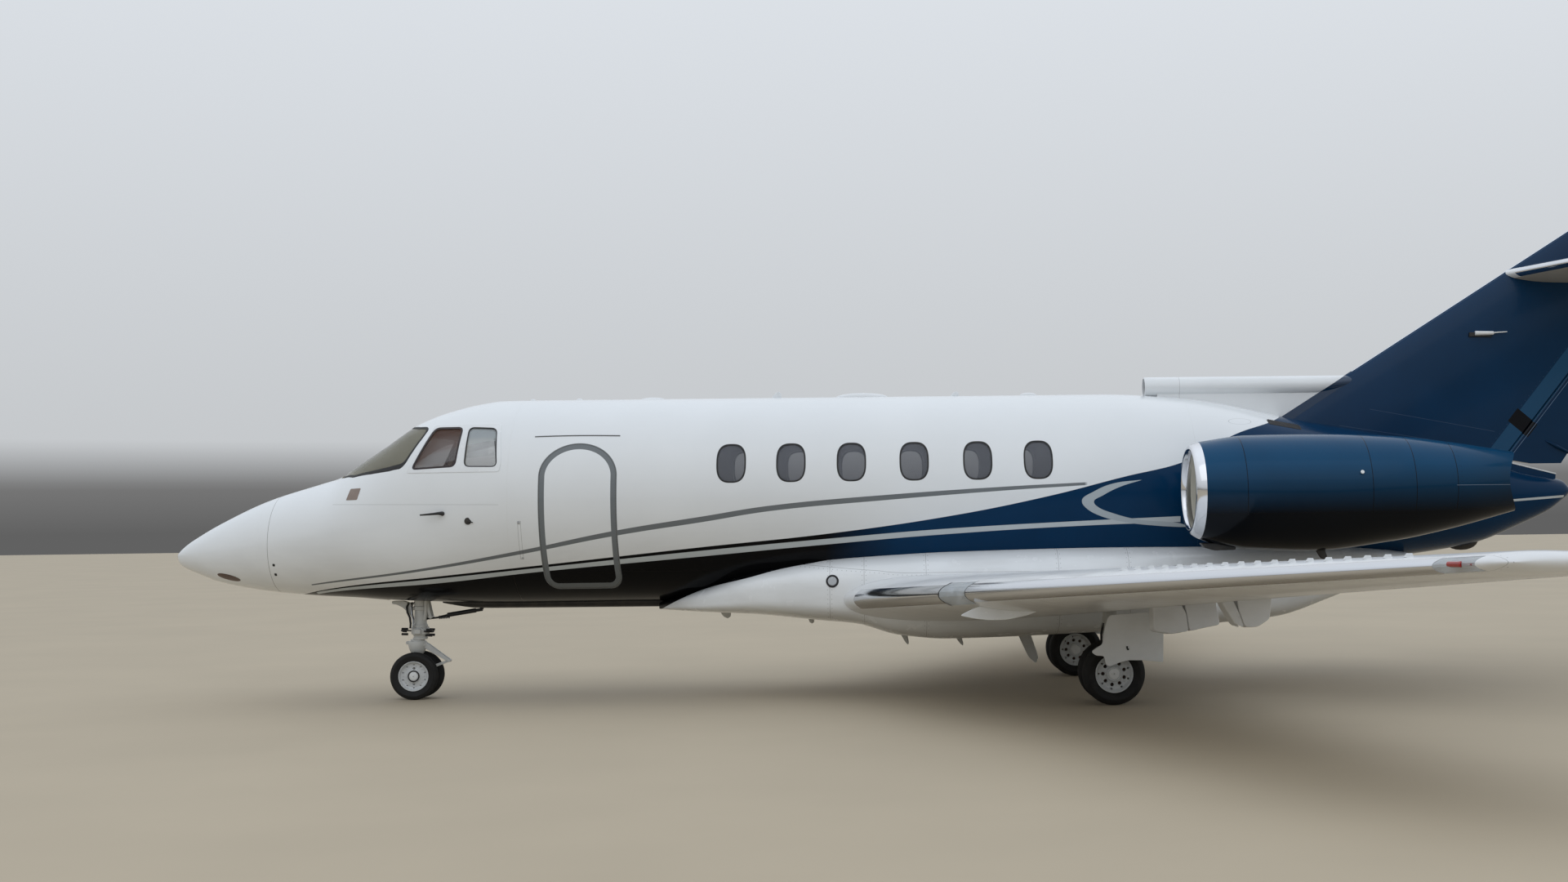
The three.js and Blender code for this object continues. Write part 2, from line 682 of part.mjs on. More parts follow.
const nacelleRing = (s, radius, z, ahead, side) => Array.from({ length: NACELLE_SIDES }, (_, k) => {
  const angle = (2 * Math.PI * k) / NACELLE_SIDES;
  const [dy, dz] = [radius * Math.cos(angle), radius * Math.sin(angle)];
  return new THREE.Vector3(stationX(s - ahead * Math.cos(angle) ** 2), side * ENGINE_Y + dy, z + dz);
});

function nacelleOuter(side, grow = 0) {
  const rings = NACELLE_OUT.map(([s, radius, z, ahead]) => nacelleRing(s, radius + grow, z, ahead, side));
  return solid(loft(rings));
}

function nacelleSolid(side) {
  const rings = NACELLE_IN.map(([s, radius, z, ahead]) => nacelleRing(s, radius, z, ahead, side));
  const front = nacelleRing(9280, 362, 1863, 0, side);
  const back = nacelleRing(12300, 246, 1900, 118, side);
  return nacelleOuter(side).subtract(solid(loft([front, ...rings, back])));
}

function engineBlock(side) {
  const ring = (s) => nacelleRing(s, ENGINE_BORE - GAP, ENGINE_Z, 0, side);
  const y = side * ENGINE_Y;
  const cone = rod([ENGINE_END - 5, y, ENGINE_Z + 8], [11900, y, 1868], 160, 30, 20);
  return join(solid(loft([FAN_BACK + GAP, ENGINE_END].map(ring))), cone);
}

const BLADE_COUNT = 12;

function fanRotor(side) {
  const middle = (FAN_FRONT + FAN_BACK) / 2;
  const hub = rod([FAN_FRONT, 0, 0], [FAN_BACK, 0, 0], 118, 118, 16);
  const spinner = rod([FAN_FRONT - 190, 0, 0], [FAN_FRONT + 2, 0, 0], 12, 116, 16);
  const blades = [];
  for (let k = 0; k < BLADE_COUNT; k++) {
    const blade = new THREE.BoxGeometry(64, 7, FAN_RADIUS - 100);
    blade.rotateZ(0.6);
    blade.translate(0, 0, (FAN_RADIUS + 96) / 2);
    blade.rotateX((2 * Math.PI * k) / BLADE_COUNT);
    blade.translate(stationX(middle), 0, 0);
    blades.push(solid(blade));
  }
  return join(hub, spinner, ...blades).translate([0, side * ENGINE_Y, ENGINE_Z]);
}

// Wheels: tyre radius, tyre width, rim radius and the side distance of a wheel from the middle of its pair
const MAIN_WHEEL = { radius: 272, width: 172, rim: 165, offset: 158, z: 272 };
const NOSE_WHEEL = { radius: 222, width: 106, rim: 140, offset: 112, z: 222 };

const WHEEL_SIDES = 22;

function turned(profile, sides) {
  const geometry = new THREE.LatheGeometry(profile.map(([r, y]) => new THREE.Vector2(r, y)), sides);
  return solid(geometry);
}

function tyre(wheel, s, y) {
  const half = wheel.width / 2;
  const seat = wheel.rim + GAP;
  const middle = 0.5 * (seat + wheel.radius);
  const crown = wheel.radius - 20;
  const profile = [
    [seat, -0.72], [middle, -1], [crown, -0.84], [wheel.radius, -0.35],
    [wheel.radius, 0.35], [crown, 0.84], [middle, 1], [seat, 0.72], [seat, -0.72],
  ].map(([r, across]) => [r, across * half]);
  return turned(profile, WHEEL_SIDES).translate([stationX(s), y, wheel.z]);
}

function rimProfile(wheel) {
  const profile = [
    [0, -0.4], [0.3, -0.4], [0.86, -0.28], [1, -0.72],
    [1, 0.72], [0.86, 0.3], [0.34, 0.3], [0.3, 0.62], [0, 0.62],
  ];
  return profile.map(([r, across]) => [r * wheel.rim, (across * wheel.width) / 2]);
}

// Both rims of a pair on their common turning axle
function rimPair(wheel, s, y, axleRadius) {
  const { offset, z } = wheel;
  const outer = turned(rimProfile(wheel), WHEEL_SIDES);
  const inner = turned(rimProfile(wheel).map(([r, h]) => [r, -h]).reverse(), WHEEL_SIDES);
  return join(
    outer.translate([stationX(s), y + offset, z]),
    inner.translate([stationX(s), y - offset, z]),
    rod([s, y - offset, z], [s, y + offset, z], axleRadius, axleRadius, AXLE_SIDES),
  );
}

const MAIN_AXLE_RADIUS = 34;
const NOSE_AXLE_RADIUS = 24;
const AXLE_SIDES = 24;

// The bore that an axle turns in: its flats clear the axle's corners at every angle
const axleBore = (radius) => radius / Math.cos(Math.PI / AXLE_SIDES) + GAP;
const MAIN_BAY = { from: 8520, to: 8800, inner: 1290, outer: 1500, roof: 905 };

function mainLeg(side) {
  const y = side * MAIN_TRACK_HALF;
  const top = MAIN_BAY.roof - GAP;
  const z = MAIN_WHEEL.z;
  const s = MAIN_AXLE_S;
  const leg = join(
    rod([s, y, 560], [s, y, top], 62, 62, 16),
    rod([s, y, z + 20], [s, y, 570], 43, 43, 12),
    rod([s, y, 545], [s, y, 585], 72, 72, 12),
    rod([s, y - 52, z], [s, y + 52, z], 60, 60, 12),
    box(s - 130, s + 130, y - 90, y + 90, top - 60, top),
    box(s + 55, s + 150, y - 14, y + 14, 640, 676),
    rod([s + 145, y, 658], [s + 205, y, 470], 17),
    rod([s + 205, y, 470], [s + 30, y, z + 50], 17),
    rod([s + 205, y - 30, 470], [s + 205, y + 30, 470], 24),
  );
  const bore = axleBore(MAIN_AXLE_RADIUS);
  return cut(leg, rod([s, y - 60, z], [s, y + 60, z], bore, bore, AXLE_SIDES));
}

// The door that hangs on the outer side of a main leg, as [station, height]
const MAIN_DOOR_OUTLINE = [
  [8470, 455], [8545, 500], [8560, 770], [8700, 770], [9050, 690], [9068, 385], [8900, 470], [8600, 440],
];

function mainLegDoor(side) {
  const inner = 1758;
  const plate = sidePrism(MAIN_DOOR_OUTLINE, ...sideSpan(side, inner, inner + 30));
  const legSide = MAIN_TRACK_HALF + 62 + GAP;
  const bracket = box(MAIN_AXLE_S - 22, MAIN_AXLE_S + 22, ...sideSpan(side, legSide, inner + 5), 655, 700);
  return join(plate, bracket);
}

// Nose leg: the tube stays with the body, everything below the collar steers
const COLLAR_Z = 560;
const NOSE_COLLAR_GAP = GAP;

function noseLegUpper() {
  const s = NOSE_AXLE_S;
  return join(
    rod([s, 0, COLLAR_Z], [s, 0, BAY.roof - GAP], 52, 52, 12),
    rod([s, 0, 700], [s, 0, 735], 70, 70, 12),
    rod([s, 0, 830], [s, 0, 870], 66, 66, 12),
    box(s - 60, s + 60, -120, 120, BAY.roof - 90, BAY.roof - GAP),
    rod([s + 30, 0, 720], [s + 330, 0, BAY.roof - 30], 22),
    rod([s - 30, 0, 850], [s - 190, 0, 860], 16),
  );
}

function noseLegLower() {
  const s = NOSE_AXLE_S;
  const z = NOSE_WHEEL.z;
  const low = COLLAR_Z - NOSE_COLLAR_GAP;
  const leg = join(
    rod([s, 0, z + 10], [s, 0, low], 36, 36, 12),
    rod([s, 0, low - 42], [s, 0, low], 60, 60, 12),
    rod([s, -42, z], [s, 42, z], 42, 42, 12),
    rod([s + 50, 0, low - 22], [s + 250, 0, 370], 12),
    rod([s + 250, 0, 370], [s + 30, 0, z + 44], 12),
    rod([s + 250, -26, 370], [s + 250, 26, 370], 20),
  );
  const bore = axleBore(NOSE_AXLE_RADIUS);
  return cut(leg, rod([s, -60, z], [s, 60, z], bore, bore, AXLE_SIDES));
}

// Flat jacking pads: station, side distance, height of the flat face, radius
const WING_JACK = { s: 8150, y: 1900, face: 782, radius: 38 };
const NOSE_JACK = { s: 1400, y: 0, face: 986, radius: 34 };
const PAD_DEPTH = 60;

const jackPad = ({ s, y, face, radius }, side) =>
  rod([s, side * y, face], [s, side * y, face + PAD_DEPTH], radius, radius, 20);

// Pieces

function radome() {
  return bodySolid(0, RADOME_END - GAP);
}

function noseSection() {
  const skin = bodySolid(RADOME_END, NOSE_SECTION_END - GAP);
  const room = bodySolid(BULKHEAD_FRONT, NOSE_SECTION_END + 20, WALL);
  const { from, to, half, roof, wall } = BAY;
  const bayBox = box(from - wall, to + wall, -half - wall, half + wall, 960, roof + wall);
  const bay = box(from, to, -half, half, 800, roof);
  const whole = join(skin.subtract(room), bayBox, jackPad(NOSE_JACK, 1));
  return cut(whole, bay, ...cockpitHoles(-1), ...cockpitHoles(1));
}

function cabinShell() {
  const skin = bodySolid(NOSE_SECTION_END, CABIN_END - GAP);
  const room = bodySolid(NOSE_SECTION_END - 20, CABIN_END - 80, WALL);
  const windowHole = (s, side) =>
    sidePrism(ovalOutline(s, CABIN_WINDOW_Z, CABIN_WINDOW_HALF), ...sideSpan(side, 400, 1200));
  const holes = [-1, 1].flatMap((side) => CABIN_WINDOWS.map((s) => windowHole(s, side)));
  return join(cut(skin.subtract(room), ...holes, doorBlank(MOVING_GAP)), ...doorHinges().frame);
}

function rearFuselage() {
  const skin = bodySolid(CABIN_END, TAIL_CONE_START - GAP);
  return skin.subtract(bodySolid(CABIN_END - 20, TAIL_CONE_START - 300, 80));
}

function tailCone() {
  const at = (z) => [rudderHinge(z), 0, z];
  const foot = RUDDER.bottomFront;
  return join(bodySolid(TAIL_CONE_START, BODY_END), endPin(at(foot), at(foot - 100), 13));
}

function passengerDoor() {
  const room = bodySolid(NOSE_SECTION_END - 20, CABIN_END + 20, WALL);
  const skin = bodySolid(NOSE_SECTION_END, CABIN_END).subtract(room);
  return join(skin.intersect(doorBlank(0)), ...doorHinges().leaf);
}

const bodyCutter = () => bodySolid(0, BODY_END, -GAP);

function fin() {
  const front = -(rudderHalf(RUDDER.bottomFront) * RUDDER.nose + MOVING_GAP) / RUDDER_COSINE;
  const [low, high, aft] = [2000, HEIGHT + 10, LENGTH + 100];
  const edge = (z) => [rudderHinge(z) + front, z];
  const behind = [edge(low), [aft, low], [aft, high], edge(high)];
  return cut(finSolid(), sidePrism(behind, -400, 400), bodyCutter());
}

function rudder() {
  const skin = finSolid().intersect(sidePrism(rudderOutline(), -400, 400));
  const [z0, z1] = [RUDDER.bottomFront + 4, HEIGHT - 8];
  const at = (z) => [rudderHinge(z), 0, z];
  const nose = hingeNose(at(z0), at(z1), RUDDER.nose * rudderHalf(z0), RUDDER.nose * rudderHalf(z1));
  return join(skin, nose).intersect(box(0, LENGTH + 500, -500, 500, RUDDER.bottomBack - 20, HEIGHT));
}

function dorsalIntake() {
  const [from, taperFrom, to, radius, z] = [9223, 10900, 11420, 96, 2886];
  const end = 40;
  const stem = box(from + 120, to - 100, -62, 62, 2350, z);
  const tail = rod([taperFrom - 1, 0, z], [to, 0, z + radius - end], radius, end, 24);
  const tube = join(rod([from, 0, z], [taperFrom, 0, z], radius, radius, 24), tail, stem);
  const mouth = rod([from - 10, 0, z], [from + 420, 0, z], radius - 16, radius - 26, 20);
  return cut(tube, mouth, bodyCutter(), finSolid(3 * GAP));
}

function bellyFairing() {
  return cut(fairingSolid(), bodyCutter(), wingSolid(-1, GAP * 1.5), wingSolid(1, GAP * 1.5));
}

function wing(side) {
  const { from, to, inner, outer, roof } = MAIN_BAY;
  const bay = box(from, to, ...sideSpan(side, inner, outer), 400, roof);
  const { recess, pin } = aileronParts(side);
  const skin = cut(wingSolid(side), flapParts(side).recess, recess, bay);
  return join(skin, pin, jackPad(WING_JACK, side), ...flapBrackets(side).wings);
}

function tailplane(side) {
  const ahead = -(elevatorNoseRadius(0) + MOVING_GAP) / HINGE_COSINE;
  const recess = planPrism(elevatorOutline(side, ahead, MOVING_GAP), 3000, 5000);
  const behind = LENGTH + 400;
  const root = 420;
  const edge = (y) => tailLine(y, TAIL.place) + ahead;
  const corners = [[edge(0), -1], [behind, -1], [behind, root], [edge(root), root]];
  const rootGap = planPrism(corners.map(([s, y]) => [s, side * y]), 3000, 5000);
  const at = (y) => [tailLine(y, TAIL.place), side * y, TAIL.z];
  const pin = endPin(at(ELEVATOR.outer), at(ELEVATOR.outer + 100), 8);
  return join(cut(tailSolid(side), recess, rootGap, finSolid(2 * GAP)), pin);
}

function elevator(side) {
  const skin = tailSolid(side).intersect(planPrism(elevatorOutline(side, 0, 0), 3000, 5000));
  const at = (y) => [tailLine(y, TAIL.place), side * y, TAIL.z];
  const [y0, y1] = [ELEVATOR.inner + 4, ELEVATOR.outer - 0.5];
  return join(skin, hingeNose(at(y0), at(y1), elevatorNoseRadius(y0), elevatorNoseRadius(y1)));
}

function pylon(side) {
  const upper = [[9830, 0], [10000, 62], [10500, 88], [11200, 62], [11700, 6]];
  const lower = upper.slice(1).reverse().map(([s, h]) => [s, -h]);
  const outline = [...upper, ...lower].map(([s, h]) => [s, PYLON_Z + h]);
  return cut(sidePrism(outline, ...sideSpan(side, 600, 1400)), nacelleOuter(side, GAP), bodyCutter());
}

// Cabin and cockpit fittings

// The hollow of the nose section or of the cabin, less a hair's breadth
const roomOf = (from, to) => bodySolid(from, to, WALL + GAP);
const cockpitRoom = () => roomOf(BULKHEAD_FRONT, NOSE_SECTION_END + 20);
const cabinRoom = () => roomOf(NOSE_SECTION_END - 20, CABIN_END - 80);
const FLOOR_THICKNESS = 30;
const COCKPIT_FLOOR_TOP = BAY.roof + BAY.wall + FLOOR_THICKNESS;
const SEAT = { depth: 480, foot: 124, cushionLow: 250, cushionTop: 400, back: 1000 };

function cabinFloor() {
  const slab = box(NOSE_SECTION_END + 20, CABIN_END - 90, -900, 900, FLOOR_TOP - FLOOR_THICKNESS, FLOOR_TOP);
  const sillGap = box(DOOR.from - 40, DOOR.to + 40, -900, -DOOR_SILL_Y, FLOOR_TOP - 40, FLOOR_TOP + 10);
  return slab.intersect(cabinRoom()).subtract(sillGap);
}

function cockpitFloor() {
  const top = COCKPIT_FLOOR_TOP;
  const slab = box(BULKHEAD_FRONT + 5, NOSE_SECTION_END - 10, -900, 900, top - FLOOR_THICKNESS + 1, top);
  return slab.intersect(cockpitRoom());
}

function seat(s, y, floor, width, facing) {
  const half = width / 2;
  const { depth, foot, cushionLow, cushionTop } = SEAT;
  const back = facing > 0 ? [s + 200, s + 310] : [s - 310, s - 200];
  return join(
    box(s - 180, s + 180, 0.8 * y - foot / 2, 0.8 * y + foot / 2, floor + GAP, floor + cushionLow + 10),
    box(s - depth / 2, s + depth / 2, y - half, y + half, floor + cushionLow, floor + cushionTop),
    box(...back, y - half + 20, y + half - 20, floor + cushionLow, floor + SEAT.back),
  );
}

function crewSeats() {
  const floor = COCKPIT_FLOOR_TOP;
  const [s, y, width] = [2900, 330, 440];
  const rail = box(s - 40, s + 40, -y, y, floor + GAP, floor + 40);
  return join(seat(s, -y, floor, width, 1), seat(s, y, floor, width, 1), rail);
}

function instrumentPanel() {
  return box(2150, 2260, -900, 900, COCKPIT_FLOOR_TOP + GAP, 2090).intersect(cockpitRoom());
}

// Cabin seats: station and way they face, +1 looking forward
const SEAT_ROW = [[5100, -1], [6500, 1], [7500, -1], [8700, 1]];

function cabinSeats(side) {
  const seats = SEAT_ROW.map(([s, facing]) => seat(s, side * 440, FLOOR_TOP, 500, facing));
  return join(box(4900, 8900, ...sideSpan(side, 335, 365), FLOOR_TOP + GAP, FLOOR_TOP + 30), ...seats);
}

// The aircraft

const COLOURS = {
  white: [0xf1f1ef, 0.25, 0.1],
  navy: [0x14294d, 0.2, 0.2],
  glass: [0x2a2a2c, 0.1, 0],
  grey: [0xc9cbcb, 0.4, 0.3],
  metal: [0xb4b7ba, 0.3, 0.9],
  rubber: [0x1b1b1c, 0.85, 0],
  trim: [0xcfc5b4, 0.8, 0],
};

const aircraft = new THREE.Group();

function add(name, body, colour) {
  const [color, roughness, metalness] = COLOURS[colour];
  const material = new THREE.MeshStandardMaterial({ color, roughness, metalness });
  const geometry = body.isBufferGeometry ? body : geometryOf(body);
  const mesh = new THREE.Mesh(geometry, material);
  mesh.name = name;
  aircraft.add(mesh);
}

// Adds the port piece and its mirror image on the starboard side
function addPair(name, body, colour) {
  const port = geometryOf(body);
  add(`${name}_left`, port, colour);
  add(`${name}_right`, mirrored(port), colour);
}

add('radome', radome(), 'white');
add('nose_section', noseSection(), 'white');
add('cabin_shell', cabinShell(), 'white');
add('rear_fuselage', rearFuselage(), 'navy');
add('tail_cone', tailCone(), 'navy');
add('wing_body_fairing', bellyFairing(), 'white');
add('dorsal_intake', dorsalIntake(), 'white');
add('passenger_door', passengerDoor(), 'white');
addPair('cockpit_glazing', cockpitGlazing(-1), 'glass');
addPair('cabin_glazing', cabinGlazing(-1), 'glass');
add('cockpit_floor', cockpitFloor(), 'trim');
add('cabin_floor', cabinFloor(), 'trim');
add('crew_seats', crewSeats(), 'trim');
add('instrument_panel', instrumentPanel(), 'trim');
addPair('cabin_seats', cabinSeats(-1), 'trim');
addPair('wing', wing(-1), 'grey');
addPair('flap', flapParts(-1).flap, 'white');
addPair('aileron', aileronParts(-1).aileron, 'white');
add('fin', fin(), 'navy');
add('rudder', rudder(), 'navy');
addPair('tailplane', tailplane(-1), 'navy');
addPair('elevator', elevator(-1), 'navy');
addPair('nacelle', nacelleSolid(-1), 'navy');
addPair('engine', engineBlock(-1), 'metal');
addPair('fan', fanRotor(-1), 'metal');
addPair('pylon', pylon(-1), 'navy');
add('nose_leg_upper', noseLegUpper(), 'grey');
add('nose_leg_lower', noseLegLower(), 'grey');
add('nose_rims', rimPair(NOSE_WHEEL, NOSE_AXLE_S, 0, NOSE_AXLE_RADIUS), 'grey');
addPair('nose_tyre', tyre(NOSE_WHEEL, NOSE_AXLE_S, -NOSE_WHEEL.offset), 'rubber');
addPair('main_leg', mainLeg(-1), 'grey');
addPair('main_leg_door', mainLegDoor(-1), 'white');
addPair('main_rims', rimPair(MAIN_WHEEL, MAIN_AXLE_S, -MAIN_TRACK_HALF, MAIN_AXLE_RADIUS), 'grey');
addPair('main_tyre_outer', tyre(MAIN_WHEEL, MAIN_AXLE_S, -MAIN_TRACK_HALF - MAIN_WHEEL.offset), 'rubber');
addPair('main_tyre_inner', tyre(MAIN_WHEEL, MAIN_AXLE_S, -MAIN_TRACK_HALF + MAIN_WHEEL.offset), 'rubber');

export default aircraft;
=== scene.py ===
"""A twin-engined business jet parked on its gear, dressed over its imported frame.

Sizes are in millimetres: stations s run aft from the nose tip, y to starboard, z up from the ground.
"""

import math
from functools import partialmethod

import bpy
import numpy as np
from mathutils import Matrix, Vector
from mathutils.bvhtree import BVHTree


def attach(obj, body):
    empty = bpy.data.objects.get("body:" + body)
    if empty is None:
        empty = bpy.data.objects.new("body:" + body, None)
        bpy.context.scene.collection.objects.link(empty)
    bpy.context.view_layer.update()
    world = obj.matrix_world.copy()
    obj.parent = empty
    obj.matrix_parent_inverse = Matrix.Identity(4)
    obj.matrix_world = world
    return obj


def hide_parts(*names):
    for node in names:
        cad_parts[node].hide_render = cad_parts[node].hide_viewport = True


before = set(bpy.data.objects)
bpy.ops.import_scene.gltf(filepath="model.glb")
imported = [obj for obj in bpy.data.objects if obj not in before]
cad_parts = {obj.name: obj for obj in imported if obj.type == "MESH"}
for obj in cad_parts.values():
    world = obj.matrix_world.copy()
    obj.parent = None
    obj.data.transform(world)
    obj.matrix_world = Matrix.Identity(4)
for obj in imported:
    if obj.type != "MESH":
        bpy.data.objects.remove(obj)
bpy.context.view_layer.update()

# Driving dimensions
MIDDLE = np.array([7800, 0, 0])
SPAN, HEIGHT = 15660, 5360
WALL, SEAM, MOVING_GAP = 60, 0.3, 8
RADOME_END, NOSE_SECTION_END, CABIN_END, TAIL_CONE_START, BODY_END = 900, 3300, 9560, 12480, 13390
BULKHEAD_FRONT = 1760
ENGINE_Y, ENGINE_Z, PYLON_Z = 1560, 1830, 1850
PORT, STARBOARD = -1, 1
SIDES = ((PORT, "left"), (STARBOARD, "right"))
AFT, ACROSS, UP = (1, 0, 0), (0, 1, 0), (0, 0, 1)


# Curves and flat outlines

def table_row(table, place):
    """Smooth values through a table whose first column is the place, kept free of overshoot."""
    xs, *columns = np.array(table, float).T
    place = np.clip(np.asarray(place, float), xs[0], xs[-1])
    i = np.clip(np.searchsorted(xs, place, side="right") - 1, 0, len(xs) - 2)
    step = xs[i + 1] - xs[i]
    t = (place - xs[i]) / step
    values = []
    for ys in columns:
        slopes = np.diff(ys) / np.diff(xs)
        before, after = slopes[:-1], slopes[1:]
        total = np.where(before + after == 0, 1, before + after)
        inner = np.where(before * after <= 0, 0, 2 * before * after / total)
        tangents = np.concatenate([slopes[:1], inner, slopes[-1:]])
        values.append((2 * t ** 3 - 3 * t ** 2 + 1) * ys[i] + (t ** 3 - 2 * t ** 2 + t) * tangents[i] * step
                      + (3 * t ** 2 - 2 * t ** 3) * ys[i + 1] + (t ** 3 - t ** 2) * tangents[i + 1] * step)
    return values


def power(value, exponent):
    return np.sign(value) * np.abs(value) ** exponent


def turns(sides, start=0.0):
    return start + 2 * np.pi * np.arange(sides) / sides


def spots(count, radius, start=0.0):
    """Places round a circle."""
    angles = [2 * math.pi * (k + start) / count for k in range(count)]
    return [(radius * math.cos(a), radius * math.sin(a)) for a in angles]


def ring(s, y, z):
    """Points as rows of station, y, z; single numbers are repeated."""
    return np.stack(np.broadcast_arrays(s, y, z), axis=1).astype(float)


def side_place(outline, y):
    return ring(outline[:, 0], y, outline[:, 1])


def plan_place(outline, z):
    return ring(outline[:, 0], outline[:, 1], z)


def inset_outline(outline, inset):
    """Moves a closed outline inwards along its own normals."""
    outline = np.asarray(outline, float)
    tangent = np.roll(outline, -1, axis=0) - np.roll(outline, 1, axis=0)
    tangent /= np.maximum(np.linalg.norm(tangent, axis=1, keepdims=True), 1e-9)
    normal = np.stack([tangent[:, 1], -tangent[:, 0]], axis=1)
    x, y = outline.T
    area = np.sum(x * np.roll(y, -1) - np.roll(x, -1) * y)
    return outline - normal * inset * (1 if area > 0 else -1)


def rounded(corners, radius, steps=6):
    """A closed outline through corners, each rounded off."""
    corners = np.asarray(corners, float)
    outline = []
    for i, here in enumerate(corners):
        before, after = corners[i - 1] - here, corners[(i + 1) % len(corners)] - here
        reach = min(radius, 0.48 * np.linalg.norm(before), 0.48 * np.linalg.norm(after))
        start = here + before / np.linalg.norm(before) * reach
        end = here + after / np.linalg.norm(after) * reach
        for t in np.linspace(0, 1, steps):
            outline.append(start * (1 - t) ** 2 + here * 2 * t * (1 - t) + end * t ** 2)
    return np.array(outline)


def oval(s, z, half_wide, half_high, squareness=2.8, sides=56):
    a = turns(sides, 0.5)
    return np.stack([s + half_wide * power(np.cos(a), 2 / squareness),
                     z + half_high * power(np.sin(a), 2 / squareness)], axis=1)


# Forms: a form is (points, faces)

def facing_out(points, faces):
    total = 0.0
    for first, *rest in faces:
        for b, c in zip(rest, rest[1:]):
            total += np.dot(points[first], np.cross(points[b], points[c]))
    return points, faces if total > 0 else [face[::-1] for face in faces]


def loft(rings, caps=True, loop=False):
    """A closed skin over rings with equal point counts; loop joins the last ring to the first."""
    rings = np.asarray(rings, float)
    count, sides = rings.shape[:2]
    index = np.arange(count * sides).reshape(count, sides)
    faces = []
    for k in range(count if loop else count - 1):
        a, b = index[k], index[(k + 1) % count]
        faces += np.stack([a, np.roll(a, -1), np.roll(b, -1), b], axis=1).tolist()
    if caps and not loop:
        faces += [index[0][::-1].tolist(), index[-1].tolist()]
    return facing_out(rings.reshape(-1, 3), faces)


def merged(*forms):
    points, faces, start = [], [], 0
    for p, f in forms:
        points.append(p)
        faces += [[i + start for i in face] for face in f]
        start += len(p)
    return np.concatenate(points), faces


def moved(form, ds=0, dy=0, dz=0):
    return form[0] + np.array([ds, dy, dz], float), form[1]


def turned(form, matrix, centre=(0, 0, 0)):
    centre = np.asarray(centre, float)
    return (form[0] - centre) @ np.array(matrix, float).T + centre, form[1]


def basis(along, up=UP):
    """Three unit axes: along, sideways and up."""
    along = np.asarray(along, float) / np.linalg.norm(along)
    side = np.cross(up, along)
    if np.linalg.norm(side) < 1e-6:
        side = np.cross(AFT, along)
    side /= np.linalg.norm(side)
    return along, side, np.cross(along, side)


def tube(path, radii, sides=16, up=UP):
    """A bar along a path of points."""
    path = np.asarray(path, float)
    radii = np.broadcast_to(np.asarray(radii, float), (len(path),))
    a = turns(sides)[:, None]
    rings = []
    for centre, tangent, radius in zip(path, np.gradient(path, axis=0), radii):
        _, side, top = basis(tangent, up)
        rings.append(centre + radius * (np.cos(a) * side + np.sin(a) * top))
    return loft(rings)


def rod(start, end, radius, end_radius=None, sides=20, bevel=2.0):
    """A turned bar with small bevels at both ends."""
    start, end = np.asarray(start, float), np.asarray(end, float)
    end_radius = radius if end_radius is None else end_radius
    length = np.linalg.norm(end - start)
    bevel = min(bevel, 0.3 * length, 0.4 * radius, 0.4 * end_radius)
    t = np.array([0, bevel / length, 1 - bevel / length, 1])
    return tube(start + t[:, None] * (end - start),
                [radius - bevel, radius, end_radius, end_radius - bevel], sides)


def cross_pin(s, y0, y1, z, radius):
    return rod([s, y0, z], [s, y1, z], radius, sides=24)


def lathe(profile, centre, axis=ACROSS, sides=48, loop=True):
    """Turns a profile of [radius, along] pairs about an axis through the centre."""
    along, side, top = basis(axis)
    a = turns(sides)
    spokes = np.cos(a)[:, None] * side + np.sin(a)[:, None] * top
    rings = [np.asarray(centre, float) + r * spokes + h * along for r, h in profile]
    return loft(rings, caps=not loop, loop=loop)


def block(s0, s1, y0, y1, z0, z1, bevel=3.0):
    """A box with bevelled edges."""
    def layer(z, inset):
        a, b, c, d = s0 + inset, s1 - inset, min(y0, y1) + inset, max(y0, y1) - inset
        e = bevel
        plan = [(a + e, c), (b - e, c), (b, c + e), (b, d - e), (b - e, d), (a + e, d), (a, d - e), (a, c + e)]
        return plan_place(np.array(plan, float), z)
    return loft([layer(z0, bevel), layer(z0 + bevel, 0), layer(z1 - bevel, 0), layer(z1, bevel)])


def prism(outline, place, low, high, bevel=0.0):
    """A plate over a flat outline of pairs; place turns (outline, height) into points."""
    outline = np.asarray(outline, float)
    if not bevel:
        return loft([place(outline, low), place(outline, high)])
    inner = inset_outline(outline, bevel)
    step = bevel if high > low else -bevel
    return loft([place(inner, low), place(outline, low + step), place(outline, high - step), place(inner, high)])


def side_prism(outline, y0, y1, bevel=0.0):
    return prism(outline, side_place, min(y0, y1), max(y0, y1), bevel)


def plan_prism(outline, low=0, high=3000):
    return prism(outline, plan_place, low, high)


# Blender objects from forms

def plain_mesh(name, form):
    mesh = bpy.data.meshes.new(name)
    mesh.from_pydata(((form[0] - MIDDLE) / 1000).tolist(), [], form[1])
    return mesh


def linked(thing):
    bpy.context.scene.collection.objects.link(thing)
    return thing


def cut(form, *others, operation="DIFFERENCE"):
    """The form with the others cut away, joined to it or kept in common."""
    target = linked(bpy.data.objects.new("target", plain_mesh("target", form)))
    tools = []
    for other in others:
        tools.append(linked(bpy.data.objects.new("tool", plain_mesh("tool", other))))
        modifier = target.modifiers.new("cut", "BOOLEAN")
        modifier.solver, modifier.operation, modifier.object = "MANIFOLD", operation, tools[-1]
    mesh = bpy.data.meshes.new_from_object(target.evaluated_get(bpy.context.evaluated_depsgraph_get()))
    points = np.empty(len(mesh.vertices) * 3)
    mesh.vertices.foreach_get("co", points)
    faces = [list(p.vertices) for p in mesh.polygons]
    for used in [*[thing.data for thing in [target, *tools]], mesh]:
        bpy.data.meshes.remove(used)
    return points.reshape(-1, 3) * 1000 + MIDDLE, faces


def joined(form, other):
    return cut(form, other, operation="UNION")


def common(form, *others):
    return cut(form, *others, operation="INTERSECT")


